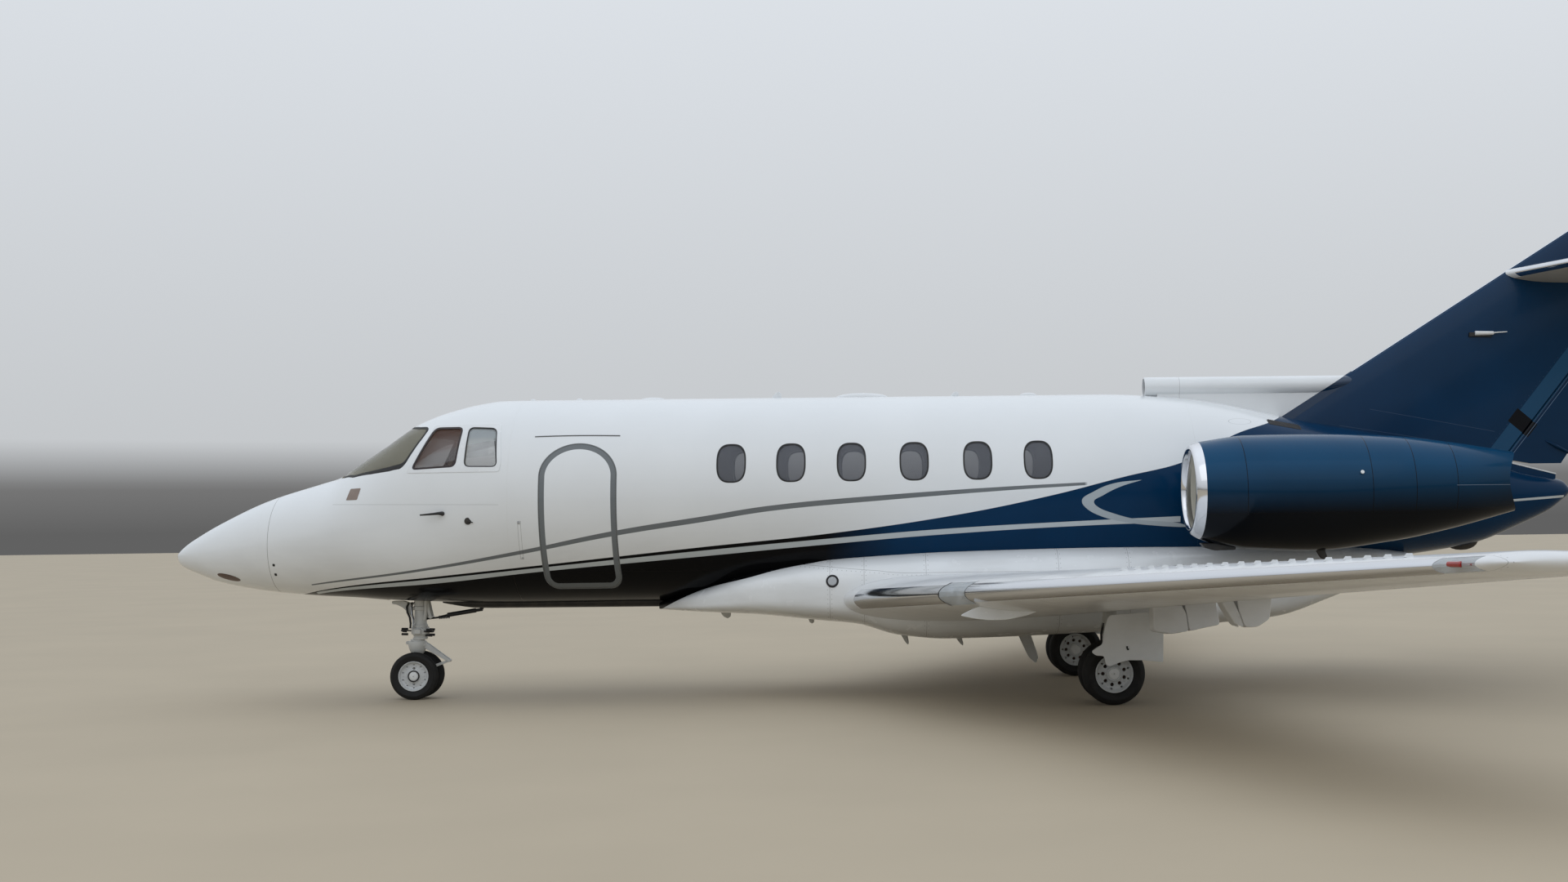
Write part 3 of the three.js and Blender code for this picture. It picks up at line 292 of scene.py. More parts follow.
def restore_normals(mesh, source):
    """Gives the corners of a cut mesh the smooth normals of the uncut form."""
    whole = plain_mesh("whole", source)
    whole.shade_smooth()
    whole.set_sharp_from_angle(angle=math.radians(35))
    whole.calc_loop_triangles()
    corner = [Vector(n.vector) for n in whole.corner_normals]
    triangles = [(tuple(t.vertices), tuple(t.loops)) for t in whole.loop_triangles]
    points = [v.co.copy() for v in whole.vertices]
    tree = BVHTree.FromPolygons(points, [t[0] for t in triangles])
    normals = [Vector(n.vector) for n in mesh.corner_normals]
    for polygon in mesh.polygons:
        for loop in polygon.loop_indices:
            co = mesh.vertices[mesh.loops[loop].vertex_index].co
            inward = polygon.center - co
            query = co + inward * min(0.1, 0.0005 / max(inward.length, 1e-9))
            near, _, index, _ = tree.find_nearest(query, 0.002)
            if index is None:
                continue
            corners, loops = triangles[index]
            weights = barycentric(near, *[points[i] for i in corners])
            normal = sum((corner[i] * w for i, w in zip(loops, weights)), Vector())
            if normal.length > 1e-6 and normal.normalized().dot(polygon.normal) > 0.8:
                normals[loop] = normal.normalized()
    bpy.data.meshes.remove(whole)
    mesh.normals_split_custom_set(normals)


def barycentric(p, a, b, c):
    v0, v1, v2 = b - a, c - a, p - a
    d00, d01, d11, d20, d21 = v0.dot(v0), v0.dot(v1), v1.dot(v1), v2.dot(v0), v2.dot(v1)
    scale = d00 * d11 - d01 * d01
    if abs(scale) < 1e-18:
        return 1.0, 0.0, 0.0
    v, w = (d11 * d20 - d01 * d21) / scale, (d00 * d21 - d01 * d20) / scale
    return 1 - v - w, v, w


LOOKS = {}
SLOTS = {
    "white_paint": "body white door_white fairing dorsal", "navy_paint": "fin navy tail nacelle",
    "wing_skin": "wing", "engine_metal": "blade dark", "rim_paint": "rim cap", "tyre_rubber": "rubber",
    "gear_paint": "gear brake chrome grey_fitting", "seat_leather": "leather",
    "glazing": "glass pane_glass brown_glass screen_glass clear lamp_brown",
}
SLOT_OF = {look: slot for slot, looks in SLOTS.items() for look in looks.split()}


def piece(name, form, looks, body="airframe", slot=None, replaces=None, source=None, sharp=34, sort=None):
    """Makes an object of a form, or of a list of forms.

    A slot is worked out from the given one, the first look or trim, but it is not used. Sort gives each face's look
    from its middle and normal.
    """
    mesh = plain_mesh(name, merged(*form) if isinstance(form, list) else form)
    looks = looks.split()
    for look in looks:
        mesh.materials.append(LOOKS[look])
    mesh.shade_smooth()
    mesh.set_sharp_from_angle(angle=math.radians(sharp))
    if source:
        restore_normals(mesh, source)
    if sort:
        for polygon in mesh.polygons:
            polygon.material_index = sort(np.array(polygon.center) * 1000 + MIDDLE, np.array(polygon.normal))
    thing = linked(bpy.data.objects.new(name, mesh))
    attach(thing, body)
    slot or SLOT_OF.get(looks[0], "trim")
    if replaces:
        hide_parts(replaces)
    return thing


# Shader values: numbers along a surface that combine with + - * /

class Field:
    def __init__(self, tree, socket):
        self.tree, self.socket = tree, socket

    def step(self, operation, *others, clamp=False):
        node = self.tree.nodes.new("ShaderNodeMath")
        node.operation, node.use_clamp = operation, clamp
        for slot, value in zip(node.inputs, (self, *others)):
            if isinstance(value, Field):
                self.tree.links.new(value.socket, slot)
            else:
                slot.default_value = float(value)
        return Field(self.tree, node.outputs[0])

    __add__ = __radd__ = partialmethod(step, "ADD")
    __sub__ = partialmethod(step, "SUBTRACT")
    __mul__ = __rmul__ = partialmethod(step, "MULTIPLY")
    __truediv__ = partialmethod(step, "DIVIDE")
    size = partialmethod(step, "ABSOLUTE")
    larger = partialmethod(step, "MAXIMUM")
    smaller = partialmethod(step, "MINIMUM")

    def __rsub__(self, other):
        return self * -1 + other

    def share(self, low, high):
        """0 up to low, 1 from high on."""
        return ((self - low) / (high - low)).step("ADD", 0, clamp=True)

    def wave(self, period):
        """Distance to the nearest multiple of the period."""
        return (self / period).step("PINGPONG", 0.5) * period

    def inside(self, soft=2.0):
        """1 where the value is positive, 0 where it is negative, blended over a soft edge."""
        return (self / soft).step("ADD", 0.5, clamp=True)

    def near(self, place, half, soft=1.5):
        """1 within half of a place."""
        return (half - (self - place).size()).inside(soft)

    def between(self, low, high, soft=2.0):
        return self.near((low + high) / 2, (high - low) / 2, soft)


def hypot(a, b):
    return (a * a + b * b).step("SQRT")


def dot(a, b, radius):
    """1 within a radius of where both values are 0."""
    return (radius - hypot(a, b)).inside(1.5)


def linear(red, green, blue):
    """A colour given as it shows on a screen, 0 to 255."""
    def one(c):
        c /= 255
        return c / 12.92 if c <= 0.04045 else ((c + 0.055) / 1.055) ** 2.4
    return one(red), one(green), one(blue), 1.0


class Finish:
    """One material. Its s, y and z are the place on the object, y being the distance from the middle."""

    def __init__(self, name):
        self.material = bpy.data.materials.new(name)
        self.material.use_nodes = True
        self.tree = self.material.node_tree
        self.shader = self.tree.nodes["Principled BSDF"]
        self.place = self.tree.nodes.new("ShaderNodeTexCoord").outputs["Object"]
        split = self.tree.nodes.new("ShaderNodeSeparateXYZ")
        self.tree.links.new(self.place, split.inputs[0])
        x, y, z = (Field(self.tree, out) for out in split.outputs)
        self.s, self.side, self.z = x * 1000 + MIDDLE[0], y * 1000, z * 1000
        self.y = self.side.size()
        self.heights = []

    def along(self, value, points):
        """A smooth curve through [place, value] pairs."""
        xs, ys = zip(*points)
        low, high = min(ys), max(ys)
        node = self.tree.nodes.new("ShaderNodeFloatCurve")
        curve = node.mapping.curves[0]
        while len(curve.points) < len(points):
            curve.points.new(0.5, 0.5)
        for point, (x, y) in zip(curve.points, points):
            point.location = (x - xs[0]) / (xs[-1] - xs[0]), (y - low) / (high - low)
            point.handle_type = "AUTO_CLAMPED"
        node.mapping.update()
        self.tree.links.new(value.share(xs[0], xs[-1]).socket, node.inputs["Value"])
        return Field(self.tree, node.outputs[0]) * (high - low) + low

    def line(self, points, half=1.6):
        """1 on a thin line whose height follows points along the object."""
        return (self.z - self.along(self.s, points)).near(0, half) * self.s.between(points[0][0], points[-1][0])

    def band(self, value, place, high, low):
        """1 where the value lies between two curves."""
        return (self.along(place, high) - value).inside() * (value - self.along(place, low)).inside()

    def noise(self, scale, detail=3.0, stretch=(1, 1, 1)):
        """Cloudy noise about 0, from -0.5 to 0.5; scale is in patches per metre."""
        mapping = self.tree.nodes.new("ShaderNodeMapping")
        mapping.inputs["Scale"].default_value = stretch
        node = self.tree.nodes.new("ShaderNodeTexNoise")
        node.inputs["Scale"].default_value = scale
        node.inputs["Detail"].default_value = detail
        self.tree.links.new(self.place, mapping.inputs[0])
        self.tree.links.new(mapping.outputs[0], node.inputs["Vector"])
        return Field(self.tree, node.outputs[0]) - 0.5

    def uneven(self, scale, amount, middle, detail=4):
        return self.noise(scale, detail) * amount + middle

    def feed(self, value, slot):
        value = value.socket if isinstance(value, Field) else value
        if isinstance(value, bpy.types.NodeSocket):
            self.tree.links.new(value, slot)
        else:
            slot.default_value = value

    def mix(self, colour, *coats):
        """The colour under coats of (share, colour)."""
        for share, coat in coats:
            node = self.tree.nodes.new("ShaderNodeMix")
            node.data_type = "RGBA"
            for value, slot in ((share, 0), (colour, 6), (coat, 7)):
                self.feed(value, node.inputs[slot])
            colour = node.outputs[2]
        return colour

    def shades(self, colour, amount, scale):
        """The colour made a little lighter and darker in clouds."""
        share = (self.noise(scale) * 2 + 0.5).step("ADD", 0, clamp=True)
        dark = tuple(c * (1 - amount) for c in colour[:3]) + (1,)
        light = tuple(min(1, c * (1 + amount)) for c in colour[:3]) + (1,)
        return self.mix(dark, (share, light))

    def soiled(self, colour, scale, amount, dirt, stretch=(1, 1, 1)):
        """The colour under uneven dirt."""
        return self.mix(colour, ((self.noise(scale, 6, stretch) + 0.05).larger(0) * amount, dirt))

    def bump(self, height, depth):
        """Adds relief: the height field is in units of the depth, which is in metres."""
        self.heights.append(height * depth)

    def done(self, colour, **values):
        """Feeds the shader. Values are named like its sockets, with _ for spaces."""
        for name, value in {"Base Color": colour, **values}.items():
            self.feed(value, self.shader.inputs[name.replace("_", " ")])
        if self.heights:
            node = self.tree.nodes.new("ShaderNodeBump")
            node.inputs["Distance"].default_value = 1.0
            total = self.heights[0]
            for other in self.heights[1:]:
                total = total + other
            self.feed(total, node.inputs["Height"])
            self.tree.links.new(node.outputs[0], self.shader.inputs["Normal"])
        return self.material


# Colours and livery: edges of the stripes on the fuselage as (station, height)
WHITE, NAVY, BLACK_PAINT = linear(228, 231, 233), linear(4, 47, 80), linear(12, 13, 15)
STRIPE_GREY, PINSTRIPE, BOOMERANG = linear(112, 117, 120), linear(190, 197, 200), linear(172, 181, 186)
DUST, GRIME, EDGE_POLISH = linear(118, 106, 90), linear(66, 58, 50), linear(214, 216, 220)
NAVY_TOP = [
    (1100, 985), (1612, 1072), (2617, 1170), (3542, 1259), (5037, 1407), (6147, 1510), (7258, 1655),
    (8149, 1821), (8902, 2001), (9375, 2107), (9985, 2395), (10386, 2523), (10700, 2690), (11000, 2900)]
PINSTRIPE_TOP = [
    (1100, 980), (1605, 1059), (2612, 1149), (3538, 1236), (5034, 1374), (6146, 1465), (7258, 1544),
    (8524, 1600), (9363, 1629)]
PINSTRIPE_LOW = [
    (1100, 960), (1589, 1035), (2600, 1106), (3530, 1199), (5031, 1322), (6145, 1414), (7258, 1495),
    (8525, 1556), (9390, 1577)]
STRIPE_TOP = [
    (1100, 1062), (1380, 1107), (2397, 1232), (3334, 1386), (4311, 1575), (5049, 1684), (5710, 1779),
    (6705, 1857), (7817, 1920), (8527, 1949)]
STRIPE_LOW = [
    (1100, 1060), (1374, 1095), (2393, 1209), (3329, 1352), (4311, 1528), (5047, 1633), (5710, 1730),
    (6705, 1810), (7816, 1885), (8526, 1923)]
STRIPES_FROM, PINSTRIPE_END, STRIPE_END = 1368, 9390, 8527
# The boomerang that ends the pinstripe, as (height, station)
BOOMERANG_OUT = [
    (1530, 9404), (1546, 9170), (1577, 8911), (1642, 8652), (1728, 8510), (1780, 8485), (1868, 8602),
    (1937, 8783), (1965, 9028)]
BOOMERANG_IN = [
    (1530, 9460), (1561, 9403), (1602, 9013), (1661, 8780), (1727, 8626), (1771, 8595), (1828, 8678),
    (1903, 8834), (1965, 9040)]
BELLY_FADE = (6150, 6800)
EDGE_METAL, WING_LINE = 70, 560
FAIRING_JOINTS = [6190, 6500, 7060, 8260, 8900]
FAIRING_SHELF = [(5900, 1240), (6600, 1176), (7000, 1150), (8800, 1150), (9400, 1190)]
FAIRING_BLACK_LOW = [
    (4540, 800), (4808, 931), (5044, 1023), (5442, 1120), (5745, 1197), (6070, 1255), (6300, 1300), (6500, 1420)]
TAIL_LINE = [(12640, 1737), (13270, 1776)]
NOSE_PANEL_LINE = [(1625, 1839), (2383, 1826), (3223, 1813)]
HINGE_BRACKET = (10004, 10162)
NACELLE_JOINTS = [9765, 10836, 11222, 11600]
FIN_PANEL_LINE = [(11404, 2643), (12639, 2415)]
FIN_BASE_LINE = [(11105, 2488), (12778, 2215)]
SCREW_PITCH = 38
DOOR = {"from": 3590, "to": 4270, "bottom": 1045, "top": 2352, "shoulder": 2060, "corner": 110}
DOOR_BAND = (-44, 12)


def door_distance(f):
    """How far a place lies outside the door's edge, in the side view."""
    half = (DOOR["to"] - DOOR["from"]) / 2
    across = (f.s - (DOOR["from"] + DOOR["to"]) / 2).size()
    rise = f.z - DOOR["shoulder"]
    arch = DOOR["top"] - DOOR["shoulder"]
    q = hypot(across / half, rise.larger(0) / arch)
    above = (q - 1) * q / hypot(across / half ** 2, rise.larger(0) / arch ** 2).larger(1e-6)
    corner = DOOR["corner"]
    below = hypot((across - (half - corner)).larger(0), (DOOR["bottom"] + corner - f.z).larger(0)) - corner
    upper = rise.inside()
    return above * upper + below * (1 - upper)


def body_paint():
    f = Finish("body_paint")
    port = (f.side * -1).inside()
    from_nose = (f.s - STRIPES_FROM).inside(12)
    dark = (f.along(f.s, NAVY_TOP) - f.z).inside()
    pin = f.band(f.z, f.s, PINSTRIPE_TOP, PINSTRIPE_LOW) * (PINSTRIPE_END - f.s).inside() * from_nose
    stripe = f.band(f.z, f.s, STRIPE_TOP, STRIPE_LOW) * (STRIPE_END - f.s).inside(30) * from_nose
    bend = f.band(f.s, f.z, BOOMERANG_IN, BOOMERANG_OUT) * f.z.between(1531, 1964)
    belly = f.mix(BLACK_PAINT, (f.s.share(*BELLY_FADE), f.shades(NAVY, 0.08, 2.0)))
    slot = ((f.s - 3407).size() - 13).larger((f.z - 1491).size() - 172).near(0, 1.4) * port
    access = (hypot((f.s - 10033) / 112, (f.z - 2511) / 30) - 1).near(0, 0.03, 0.03)
    marks = (f.s - 1000).near(0, 2.4).larger(f.line(NOSE_PANEL_LINE, 1.8) * 0.6)
    tail_line = (f.z - f.along(f.s, TAIL_LINE)).near(0, 11) * f.s.between(TAIL_LINE[0][0], TAIL_LINE[1][0])
    dirt = (f.noise(3.0, 5, (0.4, 2, 2)) + 0.1).larger(0) * (1500 - f.z).inside(600) * (1 - dark) * 0.25
    colour = f.mix(
        f.shades(WHITE, 0.02, 1.5), (stripe, STRIPE_GREY), (dark, belly), (pin * dark, PINSTRIPE), (bend, BOOMERANG),
        (door_distance(f).between(*DOOR_BAND) * port, STRIPE_GREY), (tail_line, PINSTRIPE),
        (marks.larger(slot).larger(access * 0.6) * (1 - dark) * 0.6, GRIME), (dirt, linear(92, 80, 64)))
    f.bump(marks * -1, 0.0004)
    f.bump(f.noise(90, 2), 0.00006)
    f.bump(f.noise(2.2, 2), 0.0016)
    return f.done(colour, Roughness=f.uneven(6, 0.06, 0.2), Coat_Weight=(1 - dark) * 0.4 + 0.04,
                  Coat_Roughness=0.05, Specular_IOR_Level=0.08)


def navy_paint():
    f = Finish("navy_paint")
    f.bump(f.noise(90, 2), 0.00005)
    return f.done(f.shades(NAVY, 0.1, 2.0), Roughness=f.uneven(6, 0.06, 0.2), Coat_Weight=0.12,
                  Coat_Roughness=0.05, Specular_IOR_Level=0.15)


# Look: material, colour, scale and amount of mottling, grain and depth of relief, dirt, roughness, shader values
PLAIN_LOOKS = {
    "white": ("white_paint", WHITE, 3, 0.03, 80, 0.00006, DUST, 0.26, {"Coat_Weight": 0.4, "Coat_Roughness": 0.08}),
    "door_white": ("gear_door_paint", WHITE, 6, 0.04, 80, 0.0001, DUST, 0.34, {"Coat_Weight": 0.3}),
    "black": ("black_paint", linear(24, 24, 26), 8, 0.2, 80, 0.0001, DUST, 0.42),
    "black_metal": ("black_metal", linear(40, 40, 42), 30, 0.25, 120, 0.0002, GRIME, 0.42, {"Metallic": 0.5}),
    "dark": ("dark_metal", linear(70, 70, 72), 20, 0.2, 60, 0.0002, None, 0.42, {"Metallic": 0.8}),
    "gear": ("gear_paint", linear(196, 197, 194), 12, 0.05, 60, 0.0003, GRIME, 0.42),
    "metal": ("brushed_metal", linear(176, 178, 180), 20, 0.06, 200, 0.0001, None, 0.3, {"Metallic": 0.9}),
    "chrome": ("polished_metal", linear(226, 227, 230), 8, 0.03, 6, 0.0004, None, 0.13, {"Metallic": 1.0}),
    "rim": ("rim_paint", linear(196, 199, 200), 16, 0.05, 60, 0.0002, GRIME, 0.36, {"Coat_Weight": 0.2}),
    "cap": ("cap_paint", linear(222, 224, 224), 16, 0.04, 60, 0.0002, DUST, 0.34, {"Coat_Weight": 0.2}),
    "brake": ("brake_metal", linear(96, 72, 60), 24, 0.3, 120, 0.0004, GRIME, 0.6, {"Metallic": 0.4}),
    "seal": ("seal_rubber", linear(24, 22, 22), 20, 0.2, 200, 0.0002, None, 0.55),
    "brown_seal": ("brown_seal", linear(38, 24, 24), 20, 0.15, 200, 0.0002, None, 0.45),
    "door_seal": ("door_seal", linear(96, 98, 98), 20, 0.15, 200, 0.0002, None, 0.6),
    "grey_fitting": ("grey_fitting", linear(196, 196, 192), 20, 0.06, 100, 0.0001, GRIME, 0.4),
    "patch": ("patch_paint", linear(134, 118, 108), 20, 0.08, 100, 0.0001, None, 0.35),
    "blind": ("window_blind", linear(120, 128, 140), 20, 0.06, 400, 0.0002, None, 0.8),
    "lamp_brown": ("lamp_brown", linear(70, 40, 28), 20, 0.2, 60, 0.0002, None, 0.2, {"Coat_Weight": 0.6}),
    "lining": ("cabin_lining", linear(214, 204, 186), 4, 0.04, 300, 0.0002, None, 0.75),
    "shell": ("seat_shell", linear(176, 166, 148), 14, 0.06, 200, 0.0002, None, 0.45),
    "panel": ("panel_paint", linear(52, 52, 54), 20, 0.15, 300, 0.0002, None, 0.6),
    "carpet": ("carpet", linear(132, 118, 98), 90, 0.3, 700, 0.002, None, 0.9),
    "tread": ("step_grip", linear(44, 44, 46), 60, 0.3, 400, 0.0008, DUST, 0.8),
    "red_lens": ("red_lens", linear(150, 20, 16), 20, 0.1, 100, 0.0002, None, 0.15, {"Coat_Weight": 0.8}),
    "green_lens": ("green_lens", linear(16, 120, 60), 20, 0.1, 100, 0.0002, None, 0.15, {"Coat_Weight": 0.8}),
}


def plain_paint(name, colour, scale, amount, grain, depth, dirt, rough, values=None):
    """A paint or moulding with mottled colour, fine relief and uneven polish."""
    f = Finish(name)
    shade = f.shades(colour, amount, scale)
    if dirt:
        shade = f.soiled(shade, scale, 0.5, dirt)
    f.bump(f.noise(grain, 4), depth)
    return f.done(shade, Roughness=f.uneven(20, 0.12, rough), **(values or {}))


def wing_paint():
    f = Finish("wing_paint")
    white = f.soiled(f.shades(linear(222, 224, 226), 0.03, 3.0), 3, 0.4, DUST, (0.4, 3, 2))
    behind = f.s - (WING["edgeS"] + WING["sweep"] * f.y)
    metal = (EDGE_METAL - behind).inside() * (f.y - 1180).inside() * (7440 - f.y).inside()
    lines = behind.near(EDGE_METAL + 2, 1.5) + behind.near(WING_LINE, 1.6) * (f.y - 1100).inside()
    ribs = f.y.wave(760).near(0, 1.6) * behind.between(EDGE_METAL, WING_LINE)
    dots = dot(behind - WING_LINE - 16, f.y.wave(SCREW_PITCH), 3.2) + \
        dot(behind - EDGE_METAL - 22, f.y.wave(SCREW_PITCH), 3.2)
    colour = f.mix(white, ((lines + ribs + dots).smaller(1) * 0.45, GRIME), (metal, EDGE_POLISH))
    f.bump(f.noise(80, 2), 0.00005)
    f.bump(lines * -1 + ribs * -1, 0.0004)
    return f.done(colour, Metallic=metal, Roughness=metal * -0.16 + f.uneven(8, 0.1, 0.3), Coat_Weight=0.3,
                  Coat_Roughness=0.08)


def fairing_paint():
    f = Finish("fairing_paint")
    white = f.soiled(f.shades(WHITE, 0.03, 2.0), 3, 0.5, DUST, (0.4, 2, 2))
    lines, shelf = f.s.near(0, 0), f.line(FAIRING_SHELF, 1.8)
    dots = dot(f.z + 20 - f.along(f.s, FAIRING_SHELF), f.s.wave(42), 3.4) * \
        f.s.between(FAIRING_SHELF[0][0], FAIRING_SHELF[-1][0])
    for s in FAIRING_JOINTS:
        lines = lines.larger(f.s.near(s, 1.8))
        for across in (-18, 18):
            dots = dots.larger(dot(f.s - (s + across), f.z.wave(42), 3.4))
    upper = (f.z - f.along(f.s, FAIRING_BLACK_LOW)).inside(3) * (6490 - f.s).inside(3)
    f.bump(lines.larger(shelf) * -1, 0.0004)
    f.bump(f.noise(2.2, 2), 0.0016)
    return f.done(f.mix(white, (lines.larger(shelf).larger(dots) * 0.5, GRIME), (upper, BLACK_PAINT)),
                  Roughness=f.uneven(8, 0.1, 0.26), Coat_Weight=0.4, Coat_Roughness=0.08)


def nacelle_paint():
    f = Finish("nacelle_paint")
    marks = f.s.near(0, 0)
    for s in NACELLE_JOINTS:
        marks = marks.larger(f.s.near(s, 3))
    split = f.z.near(1863, 2) * f.s.between(11586, 12099) * (f.y - ENGINE_Y).inside()
    marks = marks.larger(split).larger(dot(f.s - 11640, f.z.wave(44), 3.5) * 0.6)
    soot = f.s.share(11700, 12300) * (f.noise(5, 5) + 0.5).larger(0) * 0.5
    # Painted shade and reflection: the cowl runs from near-black navy low down to a lighter navy up top, standing in
    # for the dark apron below and the sky above.
    colour = f.mix(
        linear(4, 9, 16), (f.z.share(ENGINE_Z - 190, ENGINE_Z + 230), f.shades(linear(12, 66, 101), 0.08, 2.0)),
        (marks * 0.95, linear(2, 5, 12)), (split * 0.7, linear(130, 146, 168)), (soot, linear(40, 38, 38)))
    f.bump(marks * -1, 0.0004)
    return f.done(colour, Roughness=f.uneven(6, 0.05, 0.16), Coat_Weight=0.1, Coat_Roughness=0.04,
                  Specular_IOR_Level=0.1)


def duct_paint():
    f = Finish("duct_paint")
    joint = f.s.near(9566, 2).larger(f.s.near(9700, 2))
    f.bump(joint * -1, 0.0005)
    # Painted shade: the cream lining darkens smoothly to grey deeper in the duct, towards the fan.
    return f.done(f.mix(f.shades(linear(222, 218, 204), 0.03, 6), (f.s.share(9480, 9980), linear(88, 86, 84)),
                        (joint * 0.5, GRIME)), Roughness=f.uneven(12, 0.1, 0.4))


def fan_metal():
    f = Finish("fan_metal")
    edge = (f.s - FAN["front"]).near(6, 10, 6)
    f.bump(f.noise(120, 3, (1, 6, 6)), 0.0001)
    return f.done(f.mix(f.shades(linear(120, 122, 126), 0.1, 30), (edge, linear(190, 192, 196))), Metallic=0.85,
                  Roughness=f.uneven(30, 0.12, 0.34))


def dorsal_paint():
    f = Finish("dorsal_paint")
    aft = (f.s - 11226 - (f.z - 3003) * 1.603).inside()
    inside = (hypot(f.side, f.z - DORSAL["z"]) * -1 + 82).inside() * (9700 - f.s).inside()
    joint = f.s.near(9560, 1.6)
    f.bump(joint * -1, 0.0003)
    return f.done(f.mix(f.shades(WHITE, 0.03, 3.0), (aft, f.shades(NAVY, 0.1, 2.0)), (joint * 0.5, GRIME),
                        (inside, linear(40, 40, 42))),
                  Roughness=f.uneven(8, 0.1, 0.24), Coat_Weight=0.5, Coat_Roughness=0.06)


def tail_paint():
    """Navy, with a pale underside that is a painted reflection of the ground, and a metal leading edge that is white
    at the root.
    """
    f = Finish("tail_paint")
    behind = f.s - (TAIL["edgeS"] + TAIL["sweep"] * f.y)
    metal = (52 - behind).inside() * (f.y - 150).inside()
    root = (60 - behind).inside() * (150 - f.y).inside()
    line = behind.near(54, 2) + (f.y - 420).near(0, 1.6) * (behind - 60).inside()
    # The pale colour below the tailplane's middle height is a painted reflection of the ground in the glossy navy.
    colour = f.mix(
        f.shades(NAVY, 0.1, 2.0), ((TAIL["z"] - f.z).inside(6), f.shades(linear(168, 166, 160), 0.05, 3)),
        (line.smaller(1) * 0.5, linear(120, 126, 138)), (metal, EDGE_POLISH), (root, WHITE))
    f.bump(line * -1, 0.0003)
    return f.done(colour, Metallic=metal, Roughness=metal * -0.1 + f.uneven(8, 0.08, 0.24), Coat_Weight=0.14,
                  Coat_Roughness=0.05, Specular_IOR_Level=0.2)


def fin_paint():
    f = Finish("fin_paint")
    behind = f.s - f.along(f.z, FIN_EDGE)
    ahead = f.along(f.z, [[z, rudder_hinge(z)] for z in (2100, HEIGHT)]) - f.s
    above_root = (f.z - 3020).inside()
    metal = (12 - behind).inside() * above_root
    marks = f.line(FIN_PANEL_LINE, 1.8).larger(f.line(FIN_BASE_LINE, 1.8)).larger(behind.near(34, 3) * above_root)
    gap = (f.s * 0.63 + f.z * 0.777).between(*HINGE_BRACKET, 3)
    strip = ahead.between(12, 252) * (1 - gap) * (f.s - 12540).inside()
    colour = f.mix(
        f.shades(NAVY, 0.1, 2.0), (marks.larger(dot(ahead - 272, f.z.wave(46), 3.2)) * 0.4, linear(92, 108, 134)),
        (strip * 0.8, linear(36, 82, 118)), (ahead.between(-40, 290) * gap, linear(5, 10, 20)),
        (ahead.near(-18, 3) * 0.8, linear(120, 142, 172)), (metal, EDGE_POLISH))
    f.bump(marks * -1, 0.0003)
    return f.done(colour, Metallic=metal, Roughness=f.uneven(6, 0.06, 0.2), Coat_Weight=0.12,
                  Coat_Roughness=0.05, Specular_IOR_Level=0.15)


def tyre_rubber():
    f = Finish("tyre_rubber")
    f.bump(f.noise(220, 4), 0.0004)
    return f.done(f.soiled(f.shades(linear(11, 10, 10), 0.25, 10), 14, 0.3, linear(58, 53, 47)),
                  Roughness=f.uneven(20, 0.15, 0.74))


def clear(name, colour, low, high):
    """Glass that lets more through face on than at its edges."""
    f = Finish(name)
    weight = f.tree.nodes.new("ShaderNodeLayerWeight")
    weight.inputs["Blend"].default_value = 0.35
    f.material.surface_render_method = "BLENDED"
    return f.done(f.shades(colour, 0.1, 4), Roughness=f.uneven(9, 0.02, 0.03, 3), IOR=1.5, Coat_Weight=0.5,
                  Alpha=Field(f.tree, weight.outputs["Fresnel"]) * (high - low) + low)


def seat_leather():
    f = Finish("seat_leather")
    cells = f.tree.nodes.new("ShaderNodeTexVoronoi")
    cells.inputs["Scale"].default_value = 420
    f.tree.links.new(f.place, cells.inputs["Vector"])
    f.bump(Field(f.tree, cells.outputs["Distance"]), 0.0006)
    seam = (f.side.wave(132).near(0, 2.2) + f.s.wave(196).near(0, 2)).smaller(1)
    f.bump(seam * -1, 0.0025)
    return f.done(f.mix(f.shades(linear(206, 192, 164), 0.06, 12), (seam * 0.5, linear(120, 104, 82))),
                  Roughness=f.uneven(30, 0.12, 0.5))


def display_glass():
    f = Finish("display_glass")
    band = f.z.wave(48).near(0, 4) * f.uneven(30, 3, 0.3, 2).larger(0)
    return f.done(f.mix(linear(14, 22, 34), (band.smaller(1), linear(70, 130, 150))),
                  Roughness=f.uneven(20, 0.04, 0.12, 2), Coat_Weight=0.6)


# Fuselage: station, top height, bottom height, half width, height of the widest point, squareness
BODY_TABLE = [
    [0, 1384, 1374, 5, 1379, 2], [30, 1420, 1305, 62, 1378, 2], [100, 1485, 1255, 120, 1380, 2],
    [230, 1570, 1200, 190, 1388, 2], [400, 1669, 1132, 262, 1402, 2], [880, 1894, 1036, 425, 1462, 2],
    [1390, 2052, 984, 560, 1530, 2], [1560, 2104, 974, 603, 1555, 2.01], [1717, 2214, 963, 642, 1582, 2.04],
    [2010, 2406, 936, 706, 1632, 2.15], [2285, 2590, 922, 780, 1688, 2.25], [2468, 2670, 915, 828, 1722, 2.3],
    [2623, 2722, 906, 858, 1750, 2.25], [2855, 2780, 898, 900, 1792, 2.14], [3090, 2814, 891, 935, 1828, 2.05],
    [3400, 2818, 888, 965, 1853, 2], [8800, 2818, 888, 965, 1853, 2], [9618, 2768, 905, 940, 1836, 2],
    [10016, 2705, 945, 908, 1822, 2], [10653, 2560, 1050, 828, 1802, 2], [11582, 2392, 1205, 660, 1800, 2],
    [12387, 2200, 1330, 458, 1790, 2], [12896, 2018, 1520, 300, 1790, 2], [13150, 1970, 1638, 215, 1805, 2],
    [13290, 1936, 1738, 140, 1825, 2], [13350, 1880, 1785, 85, 1835, 2], [BODY_END, 1840, 1825, 20, 1833, 2],
]
